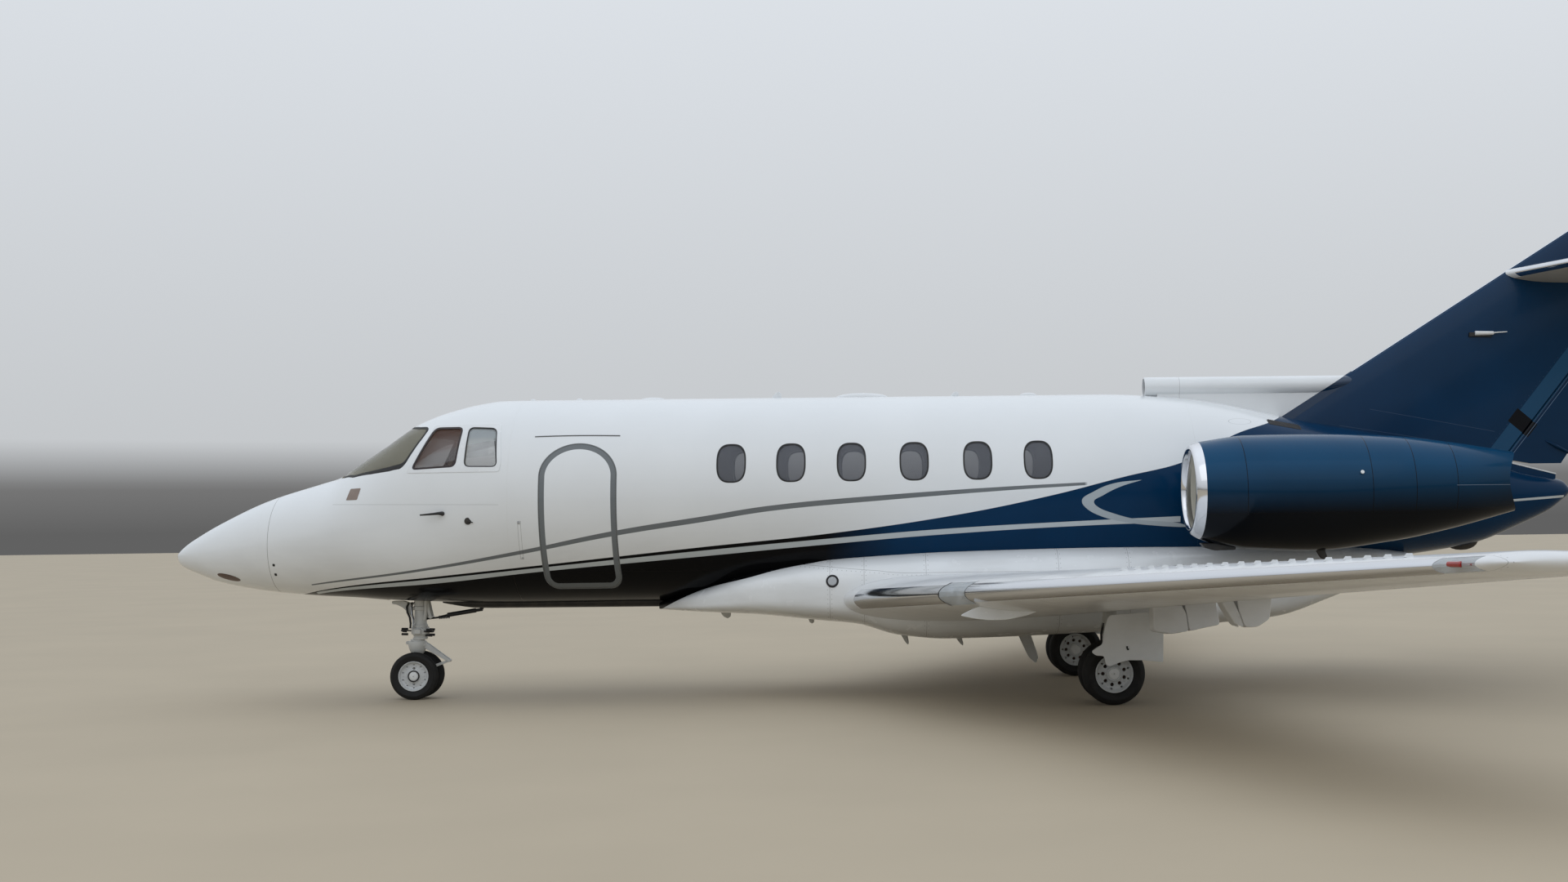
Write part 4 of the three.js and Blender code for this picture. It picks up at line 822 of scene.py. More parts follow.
BODY_PLACES = np.concatenate([
    [0, 6, 16, 34, 60, 100, 150], np.arange(210, 900, 70), np.arange(RADOME_END, 3400, 50),
    np.arange(3400, 8800, 450), np.arange(8800, 13100, 110), np.arange(13100, BODY_END, 18), [BODY_END]])
SKIN_SIDES, FAIRING_SIDES = 144, 120


def body_section(s):
    """Half width, rise and drop from the widest point, its height, squareness."""
    top, low, half, wide, squareness = table_row(BODY_TABLE, s)
    return half, top - wide, wide - low, wide, squareness


def section_ring(s, section, sides, out=0.0):
    half, up, down, middle, squareness = section
    a = turns(sides)
    rise = np.where(np.sin(a) > 0, up, down) + out
    return ring(s, (half + out) * power(np.cos(a), 2 / squareness),
                middle + rise * power(np.sin(a), 2 / squareness))


def section_width(section, z, out=0.0):
    half, up, down, middle, squareness = section
    share = np.clip(np.abs((z - middle) / (np.where(np.asarray(z) > middle, up, down) + out)), 0, 1)
    return (half + out) * (1 - share ** squareness) ** (1 / squareness)


def skin_width(s, z):
    """Distance from the middle plane to the skin at a station and height."""
    return float(section_width(body_section(s), z))


def body_form(start, end, inset=0.0):
    inner = BODY_PLACES[(BODY_PLACES > start + 8) & (BODY_PLACES < end - 8)]
    return loft([section_ring(s, body_section(s), SKIN_SIDES, -inset) for s in [start, *inner, end]])


def flank_plate(outline, out, depth, side):
    """A thin plate that follows the side of the fuselage."""
    centre = outline.mean(axis=0)
    rings = []
    for share, reach in [(k, -depth) for k in (0.02, 0.35, 0.7, 1)] + [(k, out) for k in (1, 0.7, 0.35, 0.02)]:
        s, z = (centre + (outline - centre) * share).T
        rings.append(ring(s, side * section_width(body_section(s), z, reach), z))
    return loft(rings)


# Windows and door
CABIN_WINDOWS = [5308, 5848, 6396, 6966, 7545, 8098]
CABIN_WINDOW_Z = 2162
CABIN_WINDOW_HALF = (134, 179)
SIDE_PANES = [
    [[2385, 2140], [2814, 2161], [2842, 2536], [2561, 2539]],
    [[2890, 2160], [3201, 2154], [3160, 2520], [2892, 2534]]]
WINDSCREEN_PLAN = [
    [1580, 42], [1600, 230], [1660, 326], [1777, 446], [1968, 550], [2155, 643], [2280, 694], [2329, 694],
    [2397, 650], [2460, 592], [2494, 526], [2474, 476], [2384, 398], [2290, 264], [2262, 42]]
WINDSCREEN_LOW = 1950
PANE_CORNER, SCREEN_CORNER = 55, 24
BAY = {"from": 1990, "to": 2620, "half": 150, "roof": 1130, "wall": 22}


def door_outline(grow=0.0, steps=12):
    half = (DOOR["to"] - DOOR["from"]) / 2 + grow
    middle = (DOOR["from"] + DOOR["to"]) / 2
    corner, low, shoulder = DOOR["corner"], DOOR["bottom"] - grow, DOOR["shoulder"]
    outline = []
    for centre, start in ((middle - half + corner, 180), (middle + half - corner, 270)):
        for a in np.radians(np.linspace(start, start + 90, steps)):
            outline.append((centre + corner * np.cos(a), low + corner + corner * np.sin(a)))
    for a in np.radians(np.linspace(0, 180, 4 * steps)):
        outline.append((middle + half * np.cos(a), shoulder + (DOOR["top"] + grow - shoulder) * np.sin(a)))
    return np.array(outline)


def flank_hole(outline, side, inset=0):
    """The space beside an outline, inset when asked."""
    outline = inset_outline(outline, inset) if inset else outline
    return prism(outline, side_place, side * 250, side * 1300)


def windscreen_outline(side):
    return rounded([[s, side * y] for s, y in WINDSCREEN_PLAN], SCREEN_CORNER)


def cabin_window_holes(sides, inset=0.0):
    half_wide, half_high = CABIN_WINDOW_HALF
    return merged(*[flank_hole(oval(s, CABIN_WINDOW_Z, half_wide - inset, half_high - inset), side)
                    for side in sides for s in CABIN_WINDOWS])


def cockpit_holes():
    holes = []
    for side, _ in SIDES:
        holes += [flank_hole(rounded(corners, PANE_CORNER), side) for corners in SIDE_PANES]
        holes.append(plan_prism(windscreen_outline(side), WINDSCREEN_LOW))
    return merged(*holes)


def skin_or_lining(centre, normal):
    """0 on the outer skin, 1 on what lies inside it."""
    half, up, down, wide, squareness = body_section(centre[0])
    rise = up if centre[2] > wide else down
    share = (abs(centre[1]) / half) ** squareness + (abs(centre[2] - wide) / rise) ** squareness
    outward = normal[1] * centre[1] / half ** 2 + normal[2] * (centre[2] - wide) / rise ** 2
    return 0 if share > 0.955 and outward * half > 0.25 else 1


def skin_piece(name, form, skin, **values):
    piece(name, form, "body lining", source=skin, sort=skin_or_lining, **values)


def fuselage():
    piece("radome_skin", body_form(0, RADOME_END - SEAM), "body", replaces="radome")
    skin = body_form(RADOME_END, NOSE_SECTION_END - SEAM)
    room = body_form(BULKHEAD_FRONT, NOSE_SECTION_END + 20, WALL)
    b, half = BAY, BAY["half"] + BAY["wall"]
    bay_box = block(b["from"] - b["wall"], b["to"] + b["wall"], -half, half, 960, b["roof"] + b["wall"], 2)
    bay = block(b["from"], b["to"], -b["half"], b["half"], 800, b["roof"], 1)
    skin_piece("nose_section_skin", cut(joined(cut(skin, room), bay_box), bay, cockpit_holes()), skin,
               replaces="nose_section")
    skin = body_form(NOSE_SECTION_END, CABIN_END - SEAM)
    room = body_form(NOSE_SECTION_END - 20, CABIN_END - 80, WALL)
    door_hole = flank_hole(door_outline(6), PORT)
    skin_piece("cabin_skin", cut(cut(skin, room), cabin_window_holes((PORT, STARBOARD)), door_hole), skin,
               replaces="cabin_shell")
    skin = body_form(CABIN_END, TAIL_CONE_START - SEAM)
    room = body_form(CABIN_END - 20, TAIL_CONE_START - 300, 80)
    skin_piece("rear_fuselage_skin", cut(skin, room), skin, slot="navy_paint", replaces="rear_fuselage")
    piece("tail_cone_skin", body_form(TAIL_CONE_START, BODY_END), "body", slot="navy_paint", replaces="tail_cone")


def passenger_door():
    skin = body_form(NOSE_SECTION_END, CABIN_END)
    room = body_form(NOSE_SECTION_END - 20, CABIN_END + 20, WALL)
    leaf = common(cut(skin, room), flank_hole(door_outline(0), PORT))
    skin_piece("door_leaf", leaf, skin, body="door", replaces="passenger_door")


# Belly fairing: station, height where it meets the body side, bottom height, half width
FAIRING_TABLE = [
    [4560, 880, 815, 200], [5023, 1018, 792, 640], [5481, 1165, 770, 850], [6074, 1261, 706, 975],
    [6430, 1290, 668, 1000], [6800, 1310, 560, 1020], [7263, 1330, 515, 1035], [8637, 1356, 553, 1035],
    [9637, 1359, 610, 975], [10329, 1350, 668, 880], [10796, 1330, 810, 770], [11344, 1290, 1035, 600],
    [11650, 1260, 1180, 420],
]
FAIRING_SQUARENESS = 2 / 0.55


def fairing_section(s):
    line, low, half = table_row(FAIRING_TABLE, s)
    middle = low + 0.45 * (line - low)
    return half, (line - middle) / 0.86, middle - low, middle, FAIRING_SQUARENESS


def fairing_width(s, z):
    return float(section_width(fairing_section(s), z))


def belly_fairing():
    whole = loft([section_ring(s, fairing_section(s), FAIRING_SIDES) for s in np.linspace(4560, 11650, 90)])
    shape = cut(whole, body_form(3400, BODY_END, -0.3), wing_form(STARBOARD, 0.45), wing_form(PORT, 0.45))
    piece("fairing_skin", shape, "fairing", replaces="wing_body_fairing", source=whole)


# Wing
WING = {
    "rootY": 800, "edgeS": 5823, "sweep": 0.4943, "edgeZ": 850, "rise": 0.0656,
    "chord": 3360, "taper": 0.2886, "incidence": 0.026,
}
CAMBER = 0.012
FLAP = {"from": 1095, "slotFrom": 1050, "to": 4850, "place": 0.79, "drop": 120}
# The two halves of each fairing that covers a flap hinge: side distance, then outlines as [aft, up] from the hinge
FLAP_FAIRINGS = [
    (2350, [[-252, 168], [-255, -84], [-100, -112], [60, -94], [40, 60], [-14, 150]],
     [[66, -92], [45, 64], [30, 150], [312, 166], [348, -40], [205, -64]]),
    (3250, [[-120, 166], [-88, 87], [4, -56], [60, -76], [84, -78], [40, 40], [-14, 150]],
     [[90, -78], [46, 40], [30, 150], [300, 168], [330, 150], [309, -16], [200, -78]]),
]
AILERON = {"from": 4960, "to": 7480, "place": 0.77}
HINGE_COSINE, NOSE_SHARE = 0.96, 0.86
LANDING_LIGHT = (2590, 2990)
TIP_LIGHT = (7440, 7700)
MAIN_BAY = {"from": 8520, "to": 8800, "inner": 1290, "outer": 1500, "roof": 905}


def half_thickness(u, ratio):
    return 5 * ratio * (0.2969 * np.sqrt(u) - 0.126 * u - 0.3516 * u ** 2 + 0.2843 * u ** 3 - 0.1003 * u ** 4)


def airfoil(ratio, camber=0.0, grow=0.0):
    """A wing section from the trailing edge over the top and back below, in units of the chord."""
    u = (1 + np.cos(np.linspace(0, np.pi, 34))) / 2
    thick, middle = half_thickness(u, ratio) + grow, camber * 4 * u * (1 - u)
    upper, lower = np.stack([u, middle + thick], axis=1), np.stack([u, middle - thick], axis=1)
    return np.concatenate([upper, lower[:-1][::-1]])


def tipped(ring_at, start, end, count, tip):
    """A lifting surface with a rounded tip; ring_at takes the span place and what shrinks chord and thickness."""
    rings = [ring_at(y, 1.0, 1.0) for y in np.linspace(start, end - tip, count)]
    for a in np.radians([20, 40, 58, 72, 82, 88]):
        rings.append(ring_at(end - tip + tip * np.sin(a), 1 - 0.14 * (1 - np.cos(a)), np.cos(a) ** 0.8))
    return loft(rings)


def wing_chord(y):
    return WING["chord"] - WING["taper"] * y


def wing_line(y, u):
    return WING["edgeS"] + WING["sweep"] * y + u * wing_chord(y)


def wing_thickness(y):
    return 0.14 - 0.03 * y / (SPAN / 2)


def wing_height(y, u, face=0):
    """Height of the wing's middle surface, or of its upper (1) or lower (-1) skin."""
    chord = wing_chord(y)
    middle = WING["edgeZ"] + WING["rise"] * y - u * chord * WING["incidence"] + CAMBER * 4 * u * (1 - u) * chord
    return float(middle + face * half_thickness(u, wing_thickness(y)) * chord)


def wing_form(side, grow=0.0):
    def ring_at(y, shrink_chord, shrink_thickness):
        chord = wing_chord(y) * shrink_chord
        edge = wing_line(y, 0) + wing_chord(y) * (1 - shrink_chord) * 0.75
        u, h = airfoil(wing_thickness(y) * shrink_thickness, CAMBER, grow / chord).T
        reach = np.where(u <= 0, -2 * grow, np.where(u >= 1, grow, 0))
        return ring(edge + u * chord + reach, side * float(y),
                    WING["edgeZ"] + WING["rise"] * y + h * chord - u * chord * WING["incidence"])
    return tipped(ring_at, WING["rootY"] - grow, SPAN / 2, 24, 150)


def mirrored_plan(outline, side):
    return np.array([[s, side * y] for s, y in outline])


def plan_quad(surface, front, back, side, grow=0):
    """The space above the plan of a flap or aileron."""
    inner, outer, place = surface["from"] - grow, surface["to"] + grow, surface["place"]
    lean = WING["sweep"] - WING["taper"] * place
    reach = wing_line(outer, 1) + back - wing_line(outer, place)
    return plan_prism(mirrored_plan([
        [wing_line(inner, place) + front, inner], [wing_line(inner, 1) + back, inner],
        [wing_line(outer, 1) + back, outer - lean * reach],
        [wing_line(outer, place) + front, outer - lean * front]], side))


def flap_hinge(y, side):
    return np.array([wing_line(y, FLAP["place"]), side * y, wing_height(y, FLAP["place"], -1) - FLAP["drop"]])


def hinge_plate(side, y, outline, half, bevel=6):
    """A plate square to the flap's hinge line; its outline is [aft, up] from the hinge."""
    along = flap_hinge(y + 1000, side) - flap_hinge(y, side)
    along /= np.linalg.norm(along)
    aft = np.array(AFT) - along * along[0]
    aft /= np.linalg.norm(aft)
    up = np.cross(aft, along) * side

    def place(pairs, h):
        return flap_hinge(y, side) + pairs[:, :1] * aft + pairs[:, 1:] * up + h * along
    return prism(rounded(outline, 30, 4), place, -half, half, bevel)


def fixed_fairing(side, y, fixed, moving):
    """The part on the wing, slotted so that the part on the flap swings down between its cheeks."""
    plate = hinge_plate(side, y, fixed, 46)
    for angle in np.radians([0, 12, 24, 36, 46]):
        c, s = np.cos(angle), np.sin(angle)
        swung = np.array([[c * a + s * u, c * u - s * a] for a, u in moving])
        plate = cut(plate, hinge_plate(side, y, inset_outline(swung, -7), 43.4, 0))
    return plate


def aileron_hinge(y, side):
    return np.array([wing_line(y, AILERON["place"]), side * y, wing_height(y, AILERON["place"])])


def aileron_nose(y):
    return NOSE_SHARE * half_thickness(AILERON["place"], wing_thickness(y)) * wing_chord(y)


def edge_region(side, y0, y1, depth):
    """The space round the wing's leading edge between two side distances."""
    corners = [(y0, -60), (y1, -60), (y1, depth), (y0, depth)]
    return plan_prism(mirrored_plan([[wing_line(y, 0) + ahead, y] for y, ahead in corners], side), 500, 1800)


def edge_shell(side, y0, y1, out, thick, depth):
    """A curved cover that lies in the wing's leading edge."""
    return cut(common(wing_form(side, out), edge_region(side, y0 + 1, y1 - 1, depth)), wing_form(side, -thick))


def wings():
    for side, word in SIDES:
        whole = wing_form(side)
        b = MAIN_BAY
        bay = block(b["from"], b["to"], side * b["inner"], side * b["outer"], 400, b["roof"], 2)
        slot = plan_quad({**FLAP, "from": FLAP["slotFrom"]}, 0, 80, side, MOVING_GAP)
        ahead = -(aileron_nose(AILERON["from"]) + MOVING_GAP) / HINGE_COSINE
        recess = plan_quad(AILERON, ahead, 80, side, MOVING_GAP)
        lights = [common(edge_region(side, *LANDING_LIGHT, 105), wing_form(side, 1)),
                  common(edge_region(side, *TIP_LIGHT, 64), wing_form(side, 1))]
        piece(f"wing_skin_{word}", cut(whole, bay, slot, recess, *lights), "wing", replaces=f"wing_{word}",
              source=whole)
        piece(f"flap_fairings_fixed_{word}", [fixed_fairing(side, *f) for f in FLAP_FAIRINGS], "wing")
        flap = common(whole, plan_quad(FLAP, MOVING_GAP, 60, side))
        piece(f"flap_skin_{word}", flap, "wing", f"flap_{word}", replaces=f"flap_{word}", source=whole)
        piece(f"flap_fairings_{word}", [hinge_plate(side, y, moving, 38) for y, _, moving in FLAP_FAIRINGS],
              "wing", f"flap_{word}")
        nose = rod(aileron_hinge(AILERON["from"] + 16, side), aileron_hinge(AILERON["to"] - 1, side),
                   aileron_nose(AILERON["from"]), aileron_nose(AILERON["to"]), 32)
        aileron = joined(common(whole, plan_quad(AILERON, 0, 60, side)), nose)
        piece(f"aileron_skin_{word}", aileron, "wing", f"aileron_{word}", replaces=f"aileron_{word}", source=whole)


# Fin and rudder: leading edge and thickness by height
FIN_EDGE = [[2200, 9939], [3003, 11226], [HEIGHT, 15004]]
FIN_THICKNESS = [[1900, 215], [3000, 205], [4000, 165], [HEIGHT, 62]]
RUDDER = {"bottomFront": 2140, "bottomBack": 2045, "nose": 0.84, "cosine": 0.777}


def fin_edge(z):
    zs, ss = zip(*FIN_EDGE)
    slope = (ss[1] - ss[0]) / (zs[1] - zs[0])
    return float(np.interp(z, zs, ss)) if z > zs[0] else ss[0] + slope * (z - zs[0])


def rudder_back(z):
    return 13264 + 0.703 * (z - 2038)


def rudder_hinge(z):
    return 12842 + 0.81 * (z - 2243)


def fin_chord(z):
    """Chord and thickness as a share of it."""
    chord = rudder_back(z) - fin_edge(z)
    return chord, table_row(FIN_THICKNESS, z)[0] / chord


def rudder_nose(z):
    chord, ratio = fin_chord(z)
    return RUDDER["nose"] * (half_thickness((rudder_hinge(z) - fin_edge(z)) / chord, ratio) * chord)


def fin_form(grow=0.0):
    rings = []
    for z in [2100, 2300, 2539, 2700, 2850, 3003, *np.linspace(3200, HEIGHT - 30, 14), HEIGHT]:
        chord, ratio = fin_chord(z)
        u, h = airfoil(ratio, 0, grow / chord).T
        rings.append(ring(fin_edge(z) + u * chord, h * chord, float(z)))
    return loft(rings)


def fin_and_rudder():
    whole, over = fin_form(), HEIGHT + 10
    low, back = RUDDER["bottomFront"], RUDDER["bottomBack"]
    front = -(rudder_nose(low) + MOVING_GAP) / RUDDER["cosine"]
    behind = [[rudder_hinge(2000) + front, 2000], [15700, 2000], [15700, over], [rudder_hinge(over) + front, over]]
    shape = cut(whole, side_prism(behind, -400, 400), body_form(9000, BODY_END, -0.3))
    piece("fin_skin", shape, "fin", replaces="fin", source=whole)
    outline = [[rudder_hinge(low), low], [rudder_back(back) + 60, back], [rudder_back(HEIGHT) + 200, over],
               [rudder_hinge(HEIGHT) + 8, over]]
    z0, z1 = low + 4, HEIGHT - 8
    nose = rod([rudder_hinge(z0), 0, z0], [rudder_hinge(z1), 0, z1], rudder_nose(z0), rudder_nose(z1), 32)
    blade = joined(common(whole, side_prism(outline, -400, 400)), nose)
    blade = common(blade, block(0, 16000, -500, 500, back - 20, HEIGHT, 1))
    piece("rudder_skin", blade, "fin", "rudder", replaces="rudder", source=whole)


# Tailplane
TAIL = {
    "half": 3050, "edgeS": 12789, "z": 3961, "sweep": 0.42, "root": 2000, "tip": 1000,
    "thickness": 0.1, "place": 0.68,
}
ELEVATOR = {"inner": 96, "innerBack": 340, "outer": 2900, "lean": 0.197}


def tail_chord(y):
    return TAIL["root"] - (TAIL["root"] - TAIL["tip"]) * y / TAIL["half"]


def tail_line(y, u):
    return TAIL["edgeS"] + TAIL["sweep"] * y + u * tail_chord(y)


def tail_form(side):
    def ring_at(y, shrink_chord, shrink_thickness):
        chord = tail_chord(y) * shrink_chord
        u, h = airfoil(TAIL["thickness"] * shrink_thickness).T
        return ring(tail_line(y, (1 - shrink_chord) * 0.8) + u * chord, side * float(y), TAIL["z"] + h * chord)
    return tipped(ring_at, 10, TAIL["half"], 14, 90)


def elevator_nose(y):
    return NOSE_SHARE * half_thickness(TAIL["place"], TAIL["thickness"]) * tail_chord(y)


def elevator_space(side, front, grow=0):
    e, place, behind = ELEVATOR, TAIL["place"], 40
    depth = tail_line(e["outer"], 1) + behind - tail_line(e["outer"], place)
    return plan_prism(mirrored_plan([
        [tail_line(e["inner"], place) + front, e["inner"] - grow],
        [tail_line(e["innerBack"], 1) + behind, e["innerBack"] - grow],
        [tail_line(e["outer"], 1) + behind, e["outer"] + grow - e["lean"] * depth],
        [tail_line(e["outer"], place) + front, e["outer"] + grow - e["lean"] * front]], side), 3000, 5000)


def tailplanes():
    fin = fin_form(0.6)
    for side, word in SIDES:
        whole = tail_form(side)
        ahead = -(elevator_nose(0) + MOVING_GAP) / HINGE_COSINE
        root, behind = 420, 16000
        edge = [tail_line(y, TAIL["place"]) + ahead for y in (0, root)]
        corners = [[edge[0], -side], [behind, -side], [behind, side * root], [edge[1], side * root]]
        shape = cut(cut(whole, elevator_space(side, ahead, MOVING_GAP)), plan_prism(corners, 3000, 5000), fin)
        piece(f"tailplane_skin_{word}", shape, "tail", replaces=f"tailplane_{word}", source=whole)
        y0, y1 = ELEVATOR["inner"] + 4, ELEVATOR["outer"] - 0.5
        ends = [[tail_line(y, TAIL["place"]), side * y, TAIL["z"]] for y in (y0, y1)]
        blade = joined(common(whole, elevator_space(side, 0)), rod(*ends, elevator_nose(y0), elevator_nose(y1), 32))
        piece(f"elevator_skin_{word}", blade, "navy", f"elevator_{word}", replaces=f"elevator_{word}", source=whole)


# Engines: station, radius, height of the middle, how far the sides of the ring sit ahead
NACELLE_OUT = [
    [9345, 362, 1863, 0], [9347, 370, 1863, 0], [9350, 376, 1862, 0], [9359, 388, 1860, 0],
    [9372, 398, 1858, 0], [9398, 411, 1854, 0], [9430, 423, 1850, 0], [9500, 442, 1843, 0],
    [9570, 457, 1838, 0], [9700, 481, 1833, 0], [9826, 497, 1829, 0], [10404, 512, 1821, 0],
    [11128, 462, 1848, 0], [11615, 388, 1868, 0], [12216, 262, 1898, 118],
]
ENGINE_BORE = 372
NACELLE_IN = [
    [9345, 362, 1863, 0], [9348, 354, 1863, 0], [9356, 346, 1863, 0], [9372, 340, 1862, 0],
    [9400, 336, 1858, 0], [9460, 338, 1850, 0], [9600, 352, 1838, 0], [9860, ENGINE_BORE, ENGINE_Z, 0],
    [11300, ENGINE_BORE, ENGINE_Z, 0], [11700, 300, 1862, 0], [12216, 250, 1898, 118],
]
LIP_PLACES = [9345, 9346, 9348, 9352, 9358, 9366, 9378, 9394, 9412, 9430]
COWL_PLACES = [*LIP_PLACES, *range(9460, 9826, 30), *range(9826, 10404, 60), *range(10404, 12200, 60), 12216]
DUCT_PLACES = [9346, 9348, 9352, 9360, 9372, 9388, 9406, 9430, 9470, 9520, 9600, 9700, 9780, 9860,
               *range(11300, 12200, 100), 12216]
FAN = {"front": 9905, "back": 9985, "radius": 364, "hub": 118, "blades": 24}
ENGINE_END, VANES, LOBES = 11290, 36, 12


def engine_ring(table, s, side, grow=0.0):
    radius, z, ahead = table_row(table, s)
    a = turns(96)
    return ring(s - ahead * np.cos(a) ** 2, side * ENGINE_Y + (radius + grow) * np.cos(a),
                z + (radius + grow) * np.sin(a))


def nacelle_rings(side, grow=0.0):
    return [engine_ring(NACELLE_OUT, s, side, grow) for s in COWL_PLACES]


def nacelle_sort(centre, normal):
    """0 for the painted cowl, 1 for the polished lip, 2 for the duct."""
    if centre[0] < LIP_PLACES[-1]:
        return 1
    outward = normal[1] * (centre[1] - math.copysign(ENGINE_Y, centre[1])) + normal[2] * (centre[2] - 1850)
    return 0 if outward > 0 else 2


def spokes(count):
    """Unit vectors outwards and around at even steps round the engine."""
    for k in range(count):
        a = 2 * math.pi * k / count
        yield np.array([0, math.cos(a), math.sin(a)]), np.array([0, -math.sin(a), math.cos(a)])


def fan_form(y):
    """Swept and twisted blades round a hub, behind a pointed spinner."""
    middle = (FAN["front"] + FAN["back"]) / 2
    spinner = [(4, -232), (14, -226), (34, -206), (58, -172), (80, -134), (98, -92), (110, -52), (116, -38),
               (FAN["hub"], -34), (FAN["hub"], 38), (90, 40), (4, 40)]
    parts = [lathe(spinner, [middle, y, ENGINE_Z], AFT, 64, False)]
    for spoke, across in spokes(FAN["blades"]):
        rings = []
        for t in np.linspace(0, 1, 9):
            radius = 104 + t * (FAN["radius"] - 106)
            twist = math.radians(28 + 34 * t)
            half = (33 + 12 * t - 9 * t ** 3) * 0.98
            blade_ring = []
            for u, h in airfoil(0.075 - 0.035 * t, 0.05)[::3]:
                chord, rise = (0.5 - u) * 2 * half, h * 2 * half
                fore = -chord * math.cos(twist) - rise * math.sin(twist)
                wide = -chord * math.sin(twist) + rise * math.cos(twist)
                blade_ring.append(np.array([middle, y, ENGINE_Z]) + radius * spoke + np.array([fore, 0, 0])
                                  + (wide + 16 * t ** 2) * across)
            rings.append(blade_ring)
        parts.append(loft(rings))
    return merged(*parts)


def core_form(y):
    """What stays still behind the fan: guide vanes, the core, its mixer and the exhaust cone."""
    centre = [0, y, ENGINE_Z]
    out = ENGINE_BORE - SEAM
    case = [(4, 10110), (116, 10100), (out - 14, 10100), (out - 8, 9990), (out, 9986), (out, ENGINE_END),
            (out - 8, ENGINE_END), (out - 12, 11120), (285, 11100), (4, 11090)]
    hub = [(4, 9996), (112, 9994), (118, 9998), (124, 10104), (4, 10106)]
    parts = [lathe(case, centre, AFT, 64, False), lathe(hub, centre, AFT, 48, False)]
    for spoke, across in spokes(VANES):
        parts.append(loft([[np.array([10048 + along, y, ENGINE_Z]) + radius * spoke + wide * across
                            for along, wide in ((-46, -6), (-20, 3), (20, 5), (46, 0), (20, 1), (-20, -2))]
                           for radius in (116, 240, out - 10)]))
    a = turns(120)
    mixer = []
    lobes = [(11080, 250, 0), (11230, 244, 10), (11360, 232, 26), (11440, 226, 34)]
    for thin, order in ((0, lobes), (4, lobes[::-1])):
        for s, size, wave in order:
            radii = size + wave * np.cos(LOBES * a) - thin
            mixer.append(ring(s, y + radii * np.cos(a), ENGINE_Z + (s - 11080) * 0.06 + radii * np.sin(a)))
    parts.append(loft(mixer, loop=True))
    cone = [(4, 11070), (150, 11080), (156, 11250), (146, 11420), (118, 11620), (78, 11780), (34, 11880),
            (4, 11900)]
    parts.append(turned(lathe(cone, centre, AFT, 64, False), Matrix.Rotation(-0.045, 3, "Y"),
                        [11080, y, ENGINE_Z]))
    return merged(*parts)


def nacelles():
    for side, word in SIDES:
        inner = [engine_ring(NACELLE_IN, s, side) for s in reversed(DUCT_PLACES)]
        piece(f"nacelle_skin_{word}", loft([*nacelle_rings(side), *inner], loop=True), "nacelle chrome duct",
              replaces=f"nacelle_{word}", sort=nacelle_sort)
        upper = [[9830, 0], [10000, 62], [10500, 88], [11200, 62], [11700, 6]]
        lower = [[s, -h] for s, h in upper[1:][::-1]]
        outline = rounded([[s, PYLON_Z + h] for s, h in upper + lower], 90, 5)
        shape = cut(side_prism(outline, side * 600, side * 1400), loft(nacelle_rings(side, 0.3)),
                    body_form(9000, BODY_END, -0.3))
        piece(f"pylon_skin_{word}", shape, "navy", replaces=f"pylon_{word}")
        y = side * ENGINE_Y
        piece(f"fan_blades_{word}", fan_form(y), "blade", f"fan_{word}", replaces=f"fan_{word}", sharp=50)
        piece(f"engine_core_{word}", core_form(y), "dark", replaces=f"engine_{word}")


# Wheels and legs
NOSE_AXLE_S, MAIN_AXLE_S, MAIN_TRACK_HALF = 2250, 8660, 1395
# Holes: share of the rim's radius, count, size as a share of the rim's radius
MAIN_WHEEL = {"radius": 272, "width": 172, "rim": 165, "offset": 158, "z": 272, "grooves": 4,
              "holes": [(0.80, 9, 0.055), (0.58, 9, 0.1)]}
NOSE_WHEEL = {"radius": 222, "width": 106, "rim": 140, "offset": 112, "z": 222, "grooves": 3,
              "holes": [(0.77, 10, 0.045), (0.52, 2, 0.09)]}
GROOVE = {"wide": 9, "deep": 7}
BOLTS = 18


def tyre_form(wheel, s, y):
    half, seat, out = wheel["width"] / 2, wheel["rim"] + SEAM, wheel["radius"]
    shoulder = 0.5 * half
    tread = []
    pitch = 2 * shoulder / (wheel["grooves"] + 1)
    for k in range(wheel["grooves"]):
        for across, deep in ((-0.5, 0), (-0.36, 1), (0.36, 1), (0.5, 0)):
            h = -shoulder + (k + 1) * pitch + across * GROOVE["wide"]
            tread.append((out - 3 * (h / half) ** 2 - deep * GROOVE["deep"], h))
    crown = [(out - 48 * (abs(h) / half) ** 3, h) for h in np.linspace(-0.62, -0.5, 4) * half]
    wall = [(seat + 2, -0.66), (seat + 9, -0.74), (seat + 16, -0.80), (seat + 30, -0.90), (seat + 48, -0.98),
            (0.5 * (seat + out) + 6, -1.0), (out - 42, -0.97), (out - 28, -0.90), (out - 16, -0.80),
            (out - 8, -0.70)]
    low = [(seat, -0.55 * half)] + [(r, h * half) for r, h in wall] + crown
    return lathe(low + tread + [(r, -h) for r, h in reversed(low)], [s, y, wheel["z"]], sides=96)


